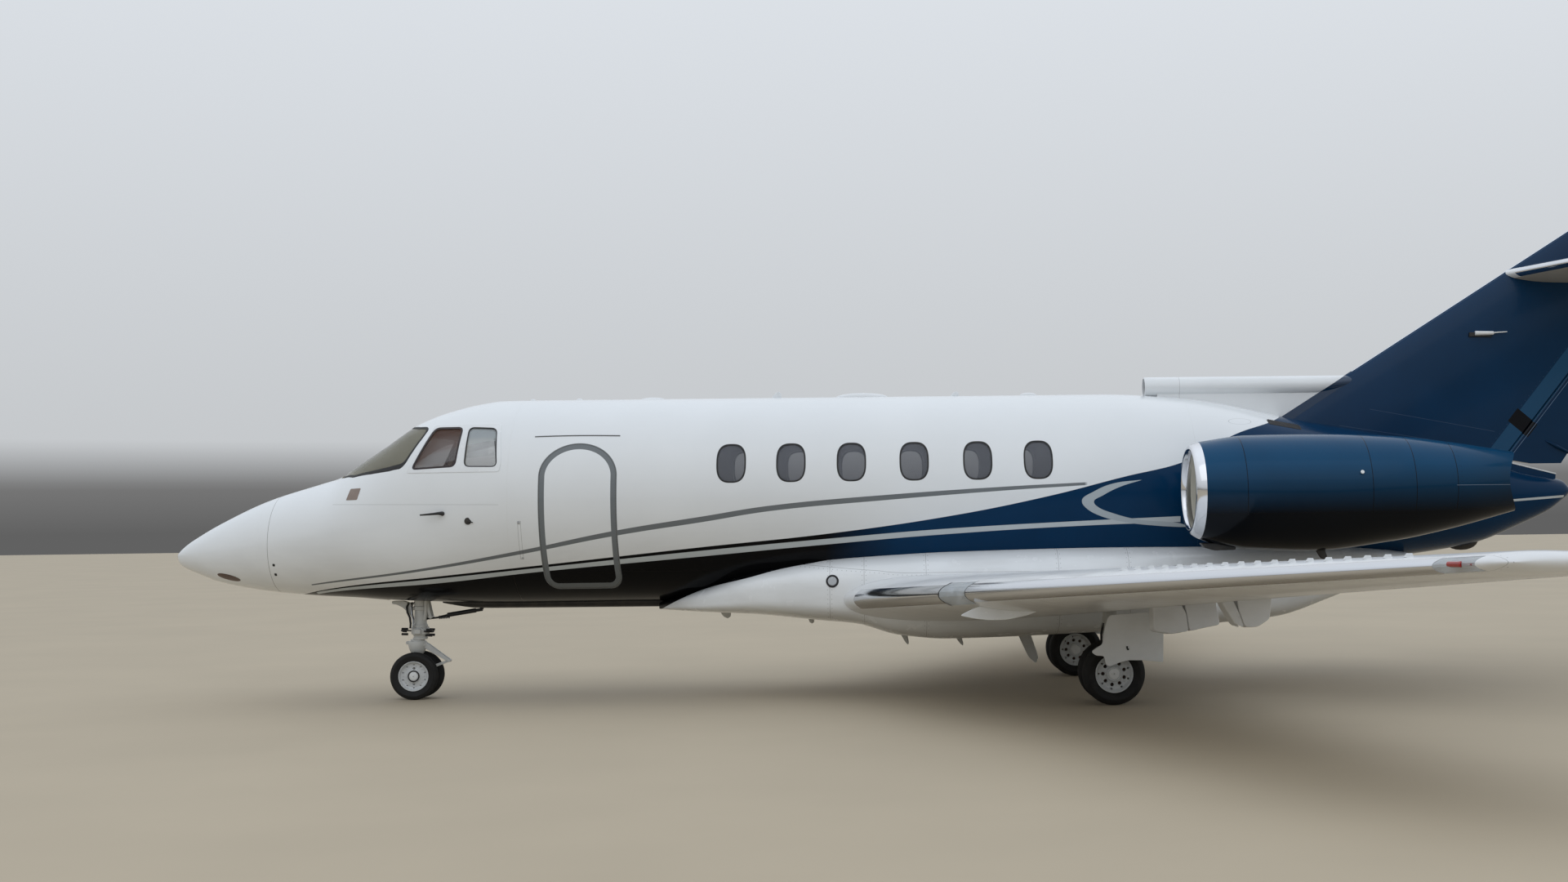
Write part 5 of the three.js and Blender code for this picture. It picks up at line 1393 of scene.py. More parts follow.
def rim_form(wheel, s, y, side):
    """One wheel hub with its dish, lightening holes and bolts; side points to its open face."""
    rim, half, z = wheel["rim"], wheel["width"] / 2, wheel["z"]
    profile = [
        (8, -0.30), (0.30, -0.30), (0.80, -0.22), (0.90, -0.40), (0.985, -0.70), (1.0, -0.72), (1.0, 0.72),
        (0.985, 0.74), (0.95, 0.72), (0.91, 0.60), (0.87, 0.42), (0.80, 0.30), (0.72, 0.27), (0.46, 0.34),
        (0.40, 0.40), (0.36, 0.52), (0.33, 0.56), (8, 0.56)]
    dish = lathe([(r if r == 8 else r * rim, side * h * half) for r, h in profile], [s, y, z], sides=96)
    holes = [rod([s + ds, y - half, z + dz], [s + ds, y + half, z + dz], size * rim, sides=16)
             for place, count, size in wheel["holes"] for ds, dz in spots(count, place * rim, 0.5)]
    face = y + side * 0.26 * half
    bolts = [rod([s + ds, face - side * 4, z + dz], [s + ds, face + side * 8, z + dz], 0.026 * rim, sides=6, bevel=1)
             for ds, dz in spots(BOLTS, 0.69 * rim)]
    return merged(cut(dish, merged(*holes)), *bolts)


def wheel_pair(wheel, s, y, axle_radius, body, rims, tyres):
    """Rims, tyres, hub caps and hub rings of two wheels on one axle."""
    offset, z, rim, half = wheel["offset"], wheel["z"], wheel["rim"], wheel["width"] / 2
    ends = (PORT, STARBOARD)
    axle = rod([s, y - offset - 20, z], [s, y + offset + 20, z], axle_radius, sides=32)
    piece(rims + "_forged", [*[rim_form(wheel, s, y + side * offset, side) for side in ends], axle], "rim", body,
          replaces=rims)
    cap_radius = 0.30 * rim
    cap = [(4, -12), (cap_radius, -12), (cap_radius, 4), (cap_radius - 5, 10), (cap_radius * 0.5, 14), (4, 15)]
    piece(rims + "_caps", [lathe([(r, side * h) for r, h in cap],
                                 [s, y + side * (offset + 0.56 * half) - side * 6, z], sides=32)
                           for side in ends], "cap", body)
    hub = [(0.31, -6), (0.39, -6), (0.39, 3), (0.37, 6), (0.33, 6), (0.31, 3)]
    piece(rims + "_hub_rings", [lathe([(r * rim, side * h) for r, h in hub],
                                      [s, y + side * (offset + 0.54 * half), z]) for side in ends],
          "seal" if s == NOSE_AXLE_S else "rim", body, slot="rim_paint")
    for side, tyre in zip(ends, tyres):
        piece(tyre + "_tread", tyre_form(wheel, s, y + side * offset), "rubber", body, replaces=tyre, sharp=28)


def wheels():
    wheel_pair(NOSE_WHEEL, NOSE_AXLE_S, 0, 24, "nose_wheels", "nose_rims", ("nose_tyre_left", "nose_tyre_right"))
    for side, word in SIDES:
        tyres = [f"main_tyre_outer_{word}", f"main_tyre_inner_{word}"][::-side]
        wheel_pair(MAIN_WHEEL, MAIN_AXLE_S, side * MAIN_TRACK_HALF, 34, f"main_wheels_{word}",
                   f"main_rims_{word}", tyres)


# Windows: panes flush with the skin, their rims and the frame round the cockpit side panes
FRAME_OUTLINE = [[2343, 2113], [3224, 2112], [3236, 2200], [3192, 2557], [2547, 2560], [2516, 2443],
                 [2402, 2254], [2368, 2176]]


def skin_sheet(start, end, outer, inner):
    """The part of the fuselage skin between two insets; a negative inset lies outside it."""
    return cut(body_form(start, end, outer), body_form(start - 5, end + 5, inner))


def hoop(sheet, outer, inner):
    return cut(common(sheet, outer), inner)


def windows():
    rim, glass = skin_sheet(1650, 3300, -1.5, 10), skin_sheet(1650, 3300, 3, 9)
    raised = skin_sheet(2250, 3300, -4, 0.05)
    cabin_rim, cabin_glass = skin_sheet(5100, 8300, -0.8, 12), skin_sheet(5100, 8300, 4, 10)
    front, rear = [rounded(corners, PANE_CORNER) for corners in SIDE_PANES]
    for side, word in SIDES:
        rims = []
        for outline, end, wide, look in ((front, "front", 17, "brown_glass"), (rear, "rear", 9, "pane_glass")):
            rims.append(hoop(rim, flank_hole(outline, side, 0.4), flank_hole(outline, side, wide)))
            piece(f"side_pane_{end}_{word}", common(glass, flank_hole(outline, side, wide + 0.3)), look)
        blind = common(skin_sheet(2700, 3300, 16, 19), flank_hole(rear, side, 4),
                       block(2700, 3300, -960, 960, 2424, 2600, 1))
        piece(f"side_pane_blind_{word}", blind, "blind")
        outer, inner, pane = [plan_prism(inset_outline(windscreen_outline(side), inset), WINDSCREEN_LOW - 60)
                              for inset in (0.4, 20, 20.3)]
        rims.append(hoop(rim, outer, inner))
        piece(f"windscreen_pane_{word}", common(glass, pane), "screen_glass")
        piece(f"side_pane_rim_{word}", rims[0], "brown_seal")
        piece(f"cockpit_pane_rims_{word}", rims[1:], "seal")
        holes = merged(flank_hole(front, side, -1), flank_hole(rear, side, -1))
        frame_form = hoop(raised, flank_hole(rounded(FRAME_OUTLINE, 28), side), holes)
        piece(f"cockpit_frame_{word}", frame_form, "white")
        outer, inner, pane = [cabin_window_holes([side], inset) for inset in (0.4, 14, 14.3)]
        piece(f"cabin_window_rims_{word}", hoop(cabin_rim, outer, inner), "seal")
        piece(f"cabin_panes_{word}", common(cabin_glass, pane), "glass")


# Cabin fittings. Seats: station of the middle and 1 for one that looks forward
FLOOR_TOP, COCKPIT_FLOOR_TOP = 1065, 1182
SEAT_ROW = [(5100, -1), (6500, 1), (7500, -1), (8700, 1)]
PAD_STEPS, PAD_SQUARENESS, PAD_PULL = 9, 7.0, 0.07


def pad_form(half_s, half_y, half_z, crown=16):
    """A crowned cushion about the origin, whose sides pull in between its corners."""
    grid = np.linspace(-1, 1, PAD_STEPS)
    index, faces = {}, []
    for axis in range(3):
        for end in (-1, 1):
            for i in range(PAD_STEPS - 1):
                for j in range(PAD_STEPS - 1):
                    square = ((i, j), (i + 1, j), (i + 1, j + 1), (i, j + 1))
                    corners = [tuple(np.roll([end, grid[a], grid[b]], axis)) for a, b in square]
                    faces.append([index.setdefault(corner, len(index)) for corner in corners][::end])
    p = np.array(list(index), float)
    size = np.sum(np.abs(p) ** PAD_SQUARENESS, axis=1) ** (1 / PAD_SQUARENESS)
    s, y, z = (p / size[:, None]).T
    return ring(s * half_s * (1 - PAD_PULL * (1 - y ** 2) * (1 - z ** 2)),
                y * half_y * (1 - PAD_PULL * (1 - s ** 2) * (1 - z ** 2)),
                z * half_z + crown * (1 - s ** 2) * (1 - y ** 2) * np.sign(z) * z ** 2), faces


def seat_parts(s, y, base, width, facing):
    """A seat's soft pads and its hard frame."""
    half, foot = width / 2, 0.8 * y
    tip = Matrix.Rotation(math.radians(-8 * facing), 3, "Y")
    pads = {
        "cushion": moved(pad_form(225, half - 14, 50), s - 8 * facing, y, base + 345),
        "back": moved(turned(pad_form(42, half - 34, 232, 10), tip), s + 246 * facing, y, base + 610),
        "headrest": moved(turned(pad_form(36, 110, 66, 8), tip), s + 286 * facing, y, base + 905),
    }
    shell = [[s + back * facing, base + up] for back, up in
             ((292, 270), (306, 560), (330, 830), (344, 985), (326, 992), (306, 800), (276, 380))]
    hard = [
        block(s - 175, s + 175, foot - 60, foot + 60, base + SEAM, base + 40, 6),
        block(s - 90, s + 90, foot - 46, foot + 46, base + 36, base + 258, 8),
        block(s - 236, s + 236, y - half + 2, y + half - 2, base + 252, base + 294, 10),
        side_prism(rounded(shell, 16, 4), y - half + 24, y + half - 24)]
    arm = [[s - 150, base + 486], [s + 190, base + 490], [s + 196, base + 520], [s - 150, base + 522]]
    for across in (-1, 1):
        middle = y + across * (half - 6)
        hard += [side_prism(rounded(arm, 12, 4), middle - 22, middle + 22),
                 block(s + 120, s + 168, middle - 10, middle + 10, base + 270, base + 500, 4)]
    return pads, hard


def seats():
    rows = [("crew_seats", f"pilot_{word}", 2900, side * 330, COCKPIT_FLOOR_TOP, 440, 1) for side, word in SIDES]
    rows += [(f"cabin_seats_{word}", f"cabin_{k}_{word}", s, side * 440, FLOOR_TOP, 500, facing)
             for side, word in SIDES for k, (s, facing) in enumerate(SEAT_ROW, 1)]
    frames = {}
    for node, name, *values in rows:
        pads, hard = seat_parts(*values)
        frames.setdefault(node, []).extend(hard)
        for part, form in pads.items():
            thing = piece(f"{name}_{part}", form, "leather", sharp=80)
            smooth = thing.modifiers.new("smooth", "SUBSURF")
            smooth.levels = smooth.render_levels = 1
    rail = block(2860, 2940, -330, 330, COCKPIT_FLOOR_TOP + SEAM, COCKPIT_FLOOR_TOP + 30, 4)
    frames["crew_seats"].append(rail)
    for side, word in SIDES:
        rail = block(4900, 8900, side * 335, side * 365, FLOOR_TOP + SEAM, FLOOR_TOP + 26, 4)
        frames[f"cabin_seats_{word}"].append(rail)
    for node, forms in frames.items():
        piece(f"{node}_frames", forms, "shell", replaces=node)


def cockpit_fittings():
    room = body_form(BULKHEAD_FRONT, NOSE_SECTION_END + 20, WALL + SEAM)
    board = common(block(2150, 2250, -900, 900, COCKPIT_FLOOR_TOP + SEAM, 2062, 4), room)
    shade = rounded([[2120, 2052], [2286, 2060], [2292, 2082], [2240, 2094], [2120, 2088]], 12, 4)
    pedestal = block(2246, 2560, -105, 105, COCKPIT_FLOOR_TOP + SEAM, 1640, 12)
    piece("panel_board", [board, common(side_prism(shade, -640, 640), room), pedestal], "panel",
          replaces="instrument_panel")
    places = (-470, -235, 0, 235, 470)
    bezels = [block(2246, 2262, y - 106, y + 106, 1760, 1972, 5) for y in places]
    bezels += [rod([2246, y, 2010], [2270, y, 2010], 9, sides=16) for y in range(-330, 331, 60)]
    piece("panel_bezels", bezels, "seal")
    piece("panel_screens", [block(2258, 2265, y - 92, y + 92, 1776, 1956, 2) for y in places], "screen")
    yokes = []
    for side, _ in SIDES:
        y = side * 330
        yokes.append(rod([2250, y, 1660], [2440, y, 1720], 16))
        grip = [[2446, y - 130, 1830], [2452, y - 128, 1760], [2450, y - 60, 1716], [2446, y, 1712],
                [2450, y + 60, 1716], [2452, y + 128, 1760], [2446, y + 130, 1830]]
        yokes.append(tube(grip, 15, 14, AFT))
    for y in (-50, 0, 50):
        yokes += [rod([2360, y, 1636], [2340, y, 1740], 6), block(2322, 2354, y - 16, y + 16, 1736, 1762, 5)]
    piece("control_yokes", yokes, "seal")


def door_fittings():
    """Steps and side rails on the inner face of the airstair door, its lock buttons and seal."""
    treads, rails, lock = [], [], []
    for z, reach in ((1190, 330), (1440, 300), (1690, 270), (1940, 235)):
        near = skin_width(3930, z) - WALL + 6
        treads.append(block(3680, 4180, -near, reach - near, z, z + 26, 5))
    for s in (3668, 4166):
        outline = [[-skin_width(s, z) + WALL + depth, z] for depth, start, end in ((-8, 1120, 2060), (92, 2060, 1120))
                   for z in np.linspace(start, end, 14)]
        rails.append(loft([ring(face, *np.array(outline).T) for face in (s, s + 26)]))
    for s, z, radius, out in ((3404, 1650, 13, 5), (3411, 1332, 9, 4)):
        y = -skin_width(s, z)
        lock.append(rod([s, y + 10, z], [s, y - out, z], radius, bevel=3))
    piece("door_steps", treads, "tread", "door")
    piece("door_side_rails", rails, "metal", "door")
    piece("door_lock_buttons", lock, "metal")
    outer, inner = [flank_hole(door_outline(grow), PORT) for grow in (5.6, 1.2)]
    piece("door_seal", hoop(skin_sheet(3400, 4460, 0.4, 5), outer, inner), "door_seal")


DORSAL = {"z": 2886, "radius": 96}


def dorsal_intake():
    z, radius = DORSAL["z"], DORSAL["radius"]
    path = [(9223, radius - 7), (9226, radius - 3), (9233, radius), (9700, radius), (10400, radius),
            (10900, radius), (11050, 84), (11200, 68), (11330, 52), (11420, 40)]
    a, rings = turns(48), []
    for s, r in path:
        middle = z + radius - r if s > 9300 else z
        rings.append(ring(s, r * np.cos(a), middle + r * np.sin(a)))
    stem = side_prism([[9343, 2350], [11320, 2350], [11320, z], [9352, z], [9343, z - 40]], -62, 62)
    bore = [(radius - 12, 9200), (radius - 13, 9240), (radius - 18, 9300), (radius - 26, 9643)]
    hollow = lathe(bore, [0, 0, z], AFT, 48, False)
    shape = cut(joined(loft(rings), stem), hollow, body_form(8800, BODY_END, -0.3), fin_form(0.9))
    piece("dorsal_intake_skin", shape, "dorsal", replaces="dorsal_intake", sharp=30)
    vanes = merged(*[block(9520, 9560, -72, 72, z + h - 2, z + h + 2, 1) for h in (-45, -15, 15, 45)])
    piece("dorsal_intake_vanes", common(vanes, hollow), "dark")


# Landing gear legs

def upright(profile, s, y):
    """Turns a profile of [radius, height] pairs about an upright axis."""
    return lathe(profile, [s, y, 0], UP, 40, False)


def with_axle_hole(stem, hub, radius, reach, centre):
    """Joins a hub to the foot of a leg and bores it for the axle."""
    bore = lathe([(radius, -reach), (radius, reach)], centre, sides=24, loop=False)
    return cut(joined(stem, lathe(hub, centre, sides=40, loop=False)), bore)


def link_arm(start, end, y, wide0, wide1, thick):
    """A flat tapered arm between two pins in the side view."""
    (s0, z0), (s1, z1) = start, end
    length = math.hypot(s1 - s0, z1 - z0)
    us, uz = (s1 - s0) / length, (z1 - z0) / length
    edge = [(0, wide0), (0.15, wide0 * 1.02), (0.85, wide1 * 1.02), (1, wide1)]
    edge += [(t, -wide) for t, wide in reversed(edge)]
    outline = [(s0 + us * length * t - uz * wide, z0 + uz * length * t + us * wide) for t, wide in edge]
    return side_prism(rounded(outline, 10, 3), y - thick / 2, y + thick / 2, 2)


def nose_leg():
    s, roof = NOSE_AXLE_S + 26, BAY["roof"] - 1
    parts = [
        upright([(2, 560.4), (64, 560.4), (68, 566), (68, 578), (60, 584), (60, 592), (68, 597), (68, 604),
                 (82, 610), (84, 618), (84, 656), (81, 664), (70, 670), (70, 694), (62, 702), (58, 720),
                 (55, 800), (55, 832), (66, 840), (66, 868), (57, 876), (56, 1040), (2, 1040)], s, 0),
        block(s - 60, s + 60, -118, 118, roof - 90, roof, 10), rod([s, -140, 1010], [s, 140, 1010], 30),
        cross_pin(s, -104, 104, 637, 16), block(s - 30, s + 30, -112, -78, 612, 662, 6),
        block(s - 30, s + 30, 78, 112, 612, 662, 6)]
    web = rounded([[2016, 926], [2120, 926], [2196, 900], [2200, 770], [2182, 800], [2120, 862], [2060, 892],
                   [2016, 898]], 14, 4)
    for y in (-52, 52):
        parts += [
            tube([[s + 62, y * 1.5, 1040], [s + 66, y * 1.1, 930], [s + 58, y * 0.8, 800],
                  [s + 44, y * 0.5, 742]], [17, 16, 15, 16], 12),
            link_arm((s + 40, 1010), (s + 104, 770), y * 0.8, 20, 13, 12),
            side_prism(web, y * 0.6 - 5, y * 0.6 + 5, 2)]
    parts += [cross_pin(s + 104, -46, 46, 768, 14), block(2020, 2150, -30, 30, 900, 918, 4)]
    piece("nose_leg_barrel", parts, "gear", replaces="nose_leg_upper")
    strut = [rod([s + 60, 0, 752], [s + 178, 0, 764], 9), rod([2530, 0, 785], [2800, 0, 826], 21),
             rod([s + 170, 0, 764], [2540, 0, 786], 11), rod([2796, 0, 825], [2862, 0, 833], 15),
             cross_pin(2850, -26, 26, 832, 11)]
    strut += [rod([s + 176 + 15 * k, 0, 763 + k], [s + 183 + 15 * k, 0, 764 + k], 17) for k in range(7)]
    strut += [link_arm((2850, 832), (2868, 905), y, 13, 24, 8) for y in (-20, 20)]
    piece("nose_leg_drag_strut", strut, "black_metal", slot="gear_paint")
    hoses = [
        tube([[2176, -34, 905], [2160, -44, 868], [2168, -58, 820], [2196, -74, 770], [2206, -84, 715],
              [2204, -88, 668]], 10, 12),
        tube([[2196, 20, 910], [2180, 16, 860], [2190, 30, 790], [2196, 60, 730], [2200, 84, 668]], 10, 12),
        tube([[2168, -78, 636], [2130, -70, 640], [2106, -30, 646], [2108, 30, 646], [2130, 70, 640],
              [2168, 78, 636]], 7, 10),
        tube([[2330, -76, 640], [2372, -60, 632], [2394, -20, 628], [2394, 20, 628], [2372, 60, 632],
              [2330, 76, 640]], 7, 10)]
    for z in (600, 650):
        hoses += [rod([2336, y, z], [2400, y * 1.2, z - 4], 12, sides=12) for y in (-40, 40)]
        hoses.append(rod([2168, -30, z + 10], [2108, -34, z + 12], 11, sides=12))
    piece("nose_leg_hoses", hoses, "seal")
    steel = [tube([[2226, side * 30, 912], [2206, side * 56, 868], [2212, side * 74, 800], [2228, side * 82, 740],
                   [2228, side * 86, 672]], 7, 10) for side in (PORT, STARBOARD)]
    steel += [rod([s + ds, y, 662], [s + ds, y, 676], 7, sides=6, bevel=1) for ds, y in spots(8, 74, 0.5)]
    piece("nose_leg_pipes", steel, "metal", slot="gear_paint")

    s = NOSE_AXLE_S
    stem = upright([(2, 232), (38, 232), (38, 400), (46, 420), (62, 436), (76, 466), (84, 500), (86, 530),
                    (80, 544), (66, 548), (66, 559.4), (2, 559.4)], s, 0)
    hub = [(2, -44), (36, -44), (43, -40), (43, 40), (36, 44), (2, 44)]
    parts = [with_axle_hole(stem, hub, 24.6, 60, [s, 0, NOSE_WHEEL["z"]]), cross_pin(2548, -34, 34, 355, 15),
             cross_pin(s + 66, -44, 44, 512, 17), cross_pin(s + 44, -44, 44, 262, 13),
             cross_pin(s - 92, -16, 16, 528, 16), block(s - 96, s - 60, -12, 12, 514, 542, 3)]
    for y in (-27, 27):
        parts += [link_arm((s + 66, 512), (2548, 355), y, 24, 14, 13),
                  link_arm((2548, 355), (s + 44, 262), y * 0.55, 11, 15, 11)]
    piece("nose_leg_fork", parts, "gear", "nose_steering_leg", replaces="nose_leg_lower")
    piston = lathe([(38.2, 300), (39.4, 302), (39.4, 408), (38.2, 410)], [s, 0, 0], UP, 40)
    piece("nose_leg_piston", piston, "chrome", "nose_steering_leg")


def main_legs():
    s, z, roof = MAIN_AXLE_S, MAIN_WHEEL["z"], MAIN_BAY["roof"] - 1
    for side, word in SIDES:
        y = side * MAIN_TRACK_HALF
        barrel = upright([(2, 545), (60, 545), (72, 551), (72, 582), (64, 590), (62, 640), (68, 648), (68, 690),
                          (62, 698), (62, 800), (70, 810), (70, 850), (62, 858), (62, roof), (2, roof)], s, y)
        piston = upright([(2, 300), (43, 300), (43, 546), (2, 546)], s, y)
        hub = [(2, -52), (54, -52), (62, -46), (62, 46), (54, 52), (2, 52)]
        parts = [with_axle_hole(piston, hub, 34.8, 70, [s, y, z]), barrel,
                 block(s - 128, s + 128, y - 88, y + 88, roof - 58, roof, 10),
                 cross_pin(s + 92, y - 40, y + 40, 655, 20), cross_pin(s + 216, y - 34, y + 34, 470, 18),
                 cross_pin(s + 56, y - 40, y + 40, 322, 17), block(s + 40, s + 110, y - 20, y + 20, 636, 676, 6),
                 rod([s - 52, y, 760], [s - 52, y, 640], 14),
                 rod([s + 20, y - side * 60, 700], [s + 20, y - side * 92, 860], 20)]
        for across in (-25, 25):
            parts += [link_arm((s + 92, 655), (s + 216, 470), y + across, 24, 15, 13),
                      link_arm((s + 216, 470), (s + 56, 322), y + across * 0.5, 14, 20, 12)]
        piece(f"main_leg_casting_{word}", parts, "gear", replaces=f"main_leg_{word}")
        piston = lathe([(43.2, 352), (44.6, 354), (44.6, 540), (43.2, 542)], [s, y, 0], UP, 40)
        piece(f"main_leg_piston_{word}", piston, "chrome")
        disc = [(64, 58), (112, 58), (120, 64), (120, 84), (108, 88), (108, 96), (118, 100), (118, 112), (64, 112)]
        brakes, lines = [], []
        for across in (-1, 1):
            brakes.append(lathe([(r, across * h) for r, h in disc], [s, y, z]))
            brakes += [rod([s + ds, y + across * 44, z + dz], [s + ds, y + across * 60, z + dz], 15, sides=16)
                       for ds, dz in spots(5, 92, 0.375)]
            lines.append(tube([[s - 60, y + across * 30, 700], [s - 78, y + across * 34, 600],
                               [s - 80, y + across * 40, 480], [s - 66, y + across * 54, 390],
                               [s - 58, y + across * 64, 366]], 6, 10))
        piece(f"brake_packs_{word}", brakes, "brake")
        piece(f"brake_lines_{word}", lines, "seal")
        plate = [[8587, 768], [8614, 790], [8938, 806], [8981, 753], [9068, 696], [9062, 500], [9059, 378],
                 [8894, 399], [8759, 401], [8687, 384], [8600, 352], [8570, 362], [8549, 440], [8482, 445],
                 [8450, 470], [8452, 486], [8492, 514], [8538, 540], [8558, 662]]
        inner, outer = side * 1758, side * 1788
        door = [side_prism(rounded(plate, 16, 4), min(inner, outer) + 8, max(inner, outer), 3)]
        door += [block(8600, 9040, inner, side * 1768, h, h + 14, 3) for h in (470, 600, 720)]
        door += [rod([s, y + side * 66, h], [s, side * 1770, h], radius) for h, radius in ((678, 15), (577, 12))]
        piece(f"main_leg_door_panel_{word}", door, "door_white", replaces=f"main_leg_door_{word}")
        near, far = outer - side * 4, outer + side * 1.5
        latch = [block(8742, 8756, near, far, 500, 522, 1), block(8748, 8764, near, far, 488, 502, 1)]
        piece(f"main_leg_door_latch_{word}", latch, "seal")


# Small outside parts

def blade(s, z, chord0, chord1, height, sweep, half, y=0.0):
    """An upright or hanging blade with rounded edges; a negative height hangs."""
    a, rings = turns(20), []
    for t in np.linspace(0, 1, 7):
        chord = chord0 + (chord1 - chord0) * t
        edge = math.sqrt(max(0.03, 1 - max(0, (t - 0.7) / 0.3) ** 2))
        middle = s + sweep * t + chord / 2
        rings.append(ring(middle + chord / 2 * edge * np.cos(a), y + half * (1 - 0.4 * t) * np.sin(a),
                          z + height * t))
    return loft(rings)


def dome(s, y, z, half_s, half_y, height):
    """A low oval bump; a negative height hangs."""
    a, rings = turns(32), []
    for t in np.linspace(0, 1, 7):
        size = math.cos(t * math.pi / 2 * 0.96)
        rings.append(ring(s + half_s * size * np.cos(a), y + half_y * size * np.sin(a),
                          z + height * math.sin(t * math.pi / 2)))
    return loft(rings)


def antennas():
    crown, keel = 2814, 890
    piece("roof_antennas", [
        dome(3344, 0, crown, 26, 20, 20), dome(3786, 0, crown, 34, 26, 20), dome(4487, 0, crown, 120, 60, 22),
        dome(6490, 0, crown, 252, 70, 44), dome(8098, 0, crown, 86, 46, 32),
        blade(5620, crown, 100, 44, 66, 46, 8), blade(7340, crown, 92, 40, 50, 40, 8)], "white")
    piece("belly_masts", [
        blade(5095, keel - 86, 120, 60, -90, 60, 8), blade(5950, 712, 60, 40, -60, 20, 8),
        blade(6831, 545, 68, 26, -108, 62, 7), blade(7348, 520, 68, 26, -100, 70, 7),
        blade(7955, 535, 126, 92, -290, 130, 9)], "grey_fitting")
    a = turns(28)
    strake = loft([ring(s, half * power(np.cos(a), 0.7), 915 + (915 - bottom) * power(np.sin(a), 0.7))
                   for s, half, bottom in (
                       (2490, 18, 900), (2550, 56, 888), (2640, 84, 872), (2700, 96, 862), (2800, 116, 850),
                       (2960, 130, 846), (3600, 134, 842), (4300, 130, 838), (4640, 118, 836), (4740, 80, 850),
                       (4790, 20, 880))])
    piece("belly_antenna_fairing", cut(strake, body_form(2300, 5200, -0.2)), "black")


def fairing_port(side, word):
    """A round cover with a glass dome on the side of the belly fairing."""
    s, z, step = 6214, 1086, 10
    here = Vector((s, side * fairing_width(s, z), z))
    slopes = [(fairing_width(s + ds, z + dz) - fairing_width(s - ds, z - dz)) / (2 * step)
              for ds, dz in ((step, 0), (0, step))]
    out = Vector((-slopes[0], side, -slopes[1])).normalized()
    piece(f"fairing_port_{word}", rod(here - out * 24, here + out * 4, 58, sides=44, bevel=3), "black_metal")
    piece(f"fairing_port_dish_{word}", rod(here + out * 3.9, here + out * 6, 40, sides=44, bevel=1), "metal")
    glassy = turned(dome(0, 0, 0, 42, 42, 8), Vector(UP).rotation_difference(out).to_matrix())
    piece(f"fairing_port_glass_{word}", moved(glassy, *(here + out * 3.6)), "clear")


def outside_parts():
    antennas()
    for side, word in SIDES:
        near = skin_width(2680, 1740)
        path = [[s, side * (near + out), z] for s, out, z in
                ((2712, -12, 1738), (2704, 26, 1742), (2680, 46, 1742), (2640, 50, 1738), (2519, 50, 1729))]
        piece(f"pitot_tube_{word}", tube(path, [22, 18, 13, 11, 7], 16), "black")
        near = skin_width(2943, 1670)
        vane = [rod([2943, side * (near - 6), 1670], [2943, side * (near + 4), 1670], 32, sides=36),
                rod([2943, side * (near + 3), 1670], [2943, side * (near + 12), 1670], 12),
                rod([2940, side * (near + 10), 1670], [2990, side * (near + 12), 1656], 6, 4, 12)]
        piece(f"airflow_vane_{word}", vane, "black")
        outline = rounded([[1786, 1982], [1894, 1986], [1870, 1878], [1758, 1876]], 10)
        piece(f"nose_patch_{word}", common(skin_sheet(1600, 2000, -1.5, 0.2), flank_hole(outline, side)), "patch")
        tilt = Matrix.Rotation(math.radians(-14), 2)
        outline = np.array([tilt @ Vector(p) for p in oval(0, 0, 114, 27, 2.1)]) + [560, 1177]
        piece(f"radome_lamp_{word}", flank_plate(outline, 2, 3, side), "lamp_brown")
        gutter = []
        for s in np.linspace(3519, 4289, 24):
            z = 2430 + 6 * math.sin((s - 3519) / 770 * math.pi)
            gutter.append([s, side * skin_width(s, z), z])
        piece(f"rain_gutter_{word}", tube(gutter, 6, 10), "door_seal")
        marks = []
        for z in (1289, 1200):
            outline = rounded([[1038, z - 12], [1062, z - 12], [1062, z + 12], [1038, z + 12]], 6)
            marks.append(common(skin_sheet(1000, 1100, -1, 0.2), flank_hole(outline, side)))
        piece(f"radome_latches_{word}", marks, "seal")
        fairing_port(side, word)


def louvre_slats(side, count=16):
    slats = []
    for k in range(count):
        t = (k + 0.5) / count
        s, z = 10330 + 306 * t, 2512 - 56 * t
        slats.append(tube([[s, side * (skin_width(s, h) + 1), h] for h in np.linspace(z - 24, z + 24, 5)], 4.2, 8))
    return slats


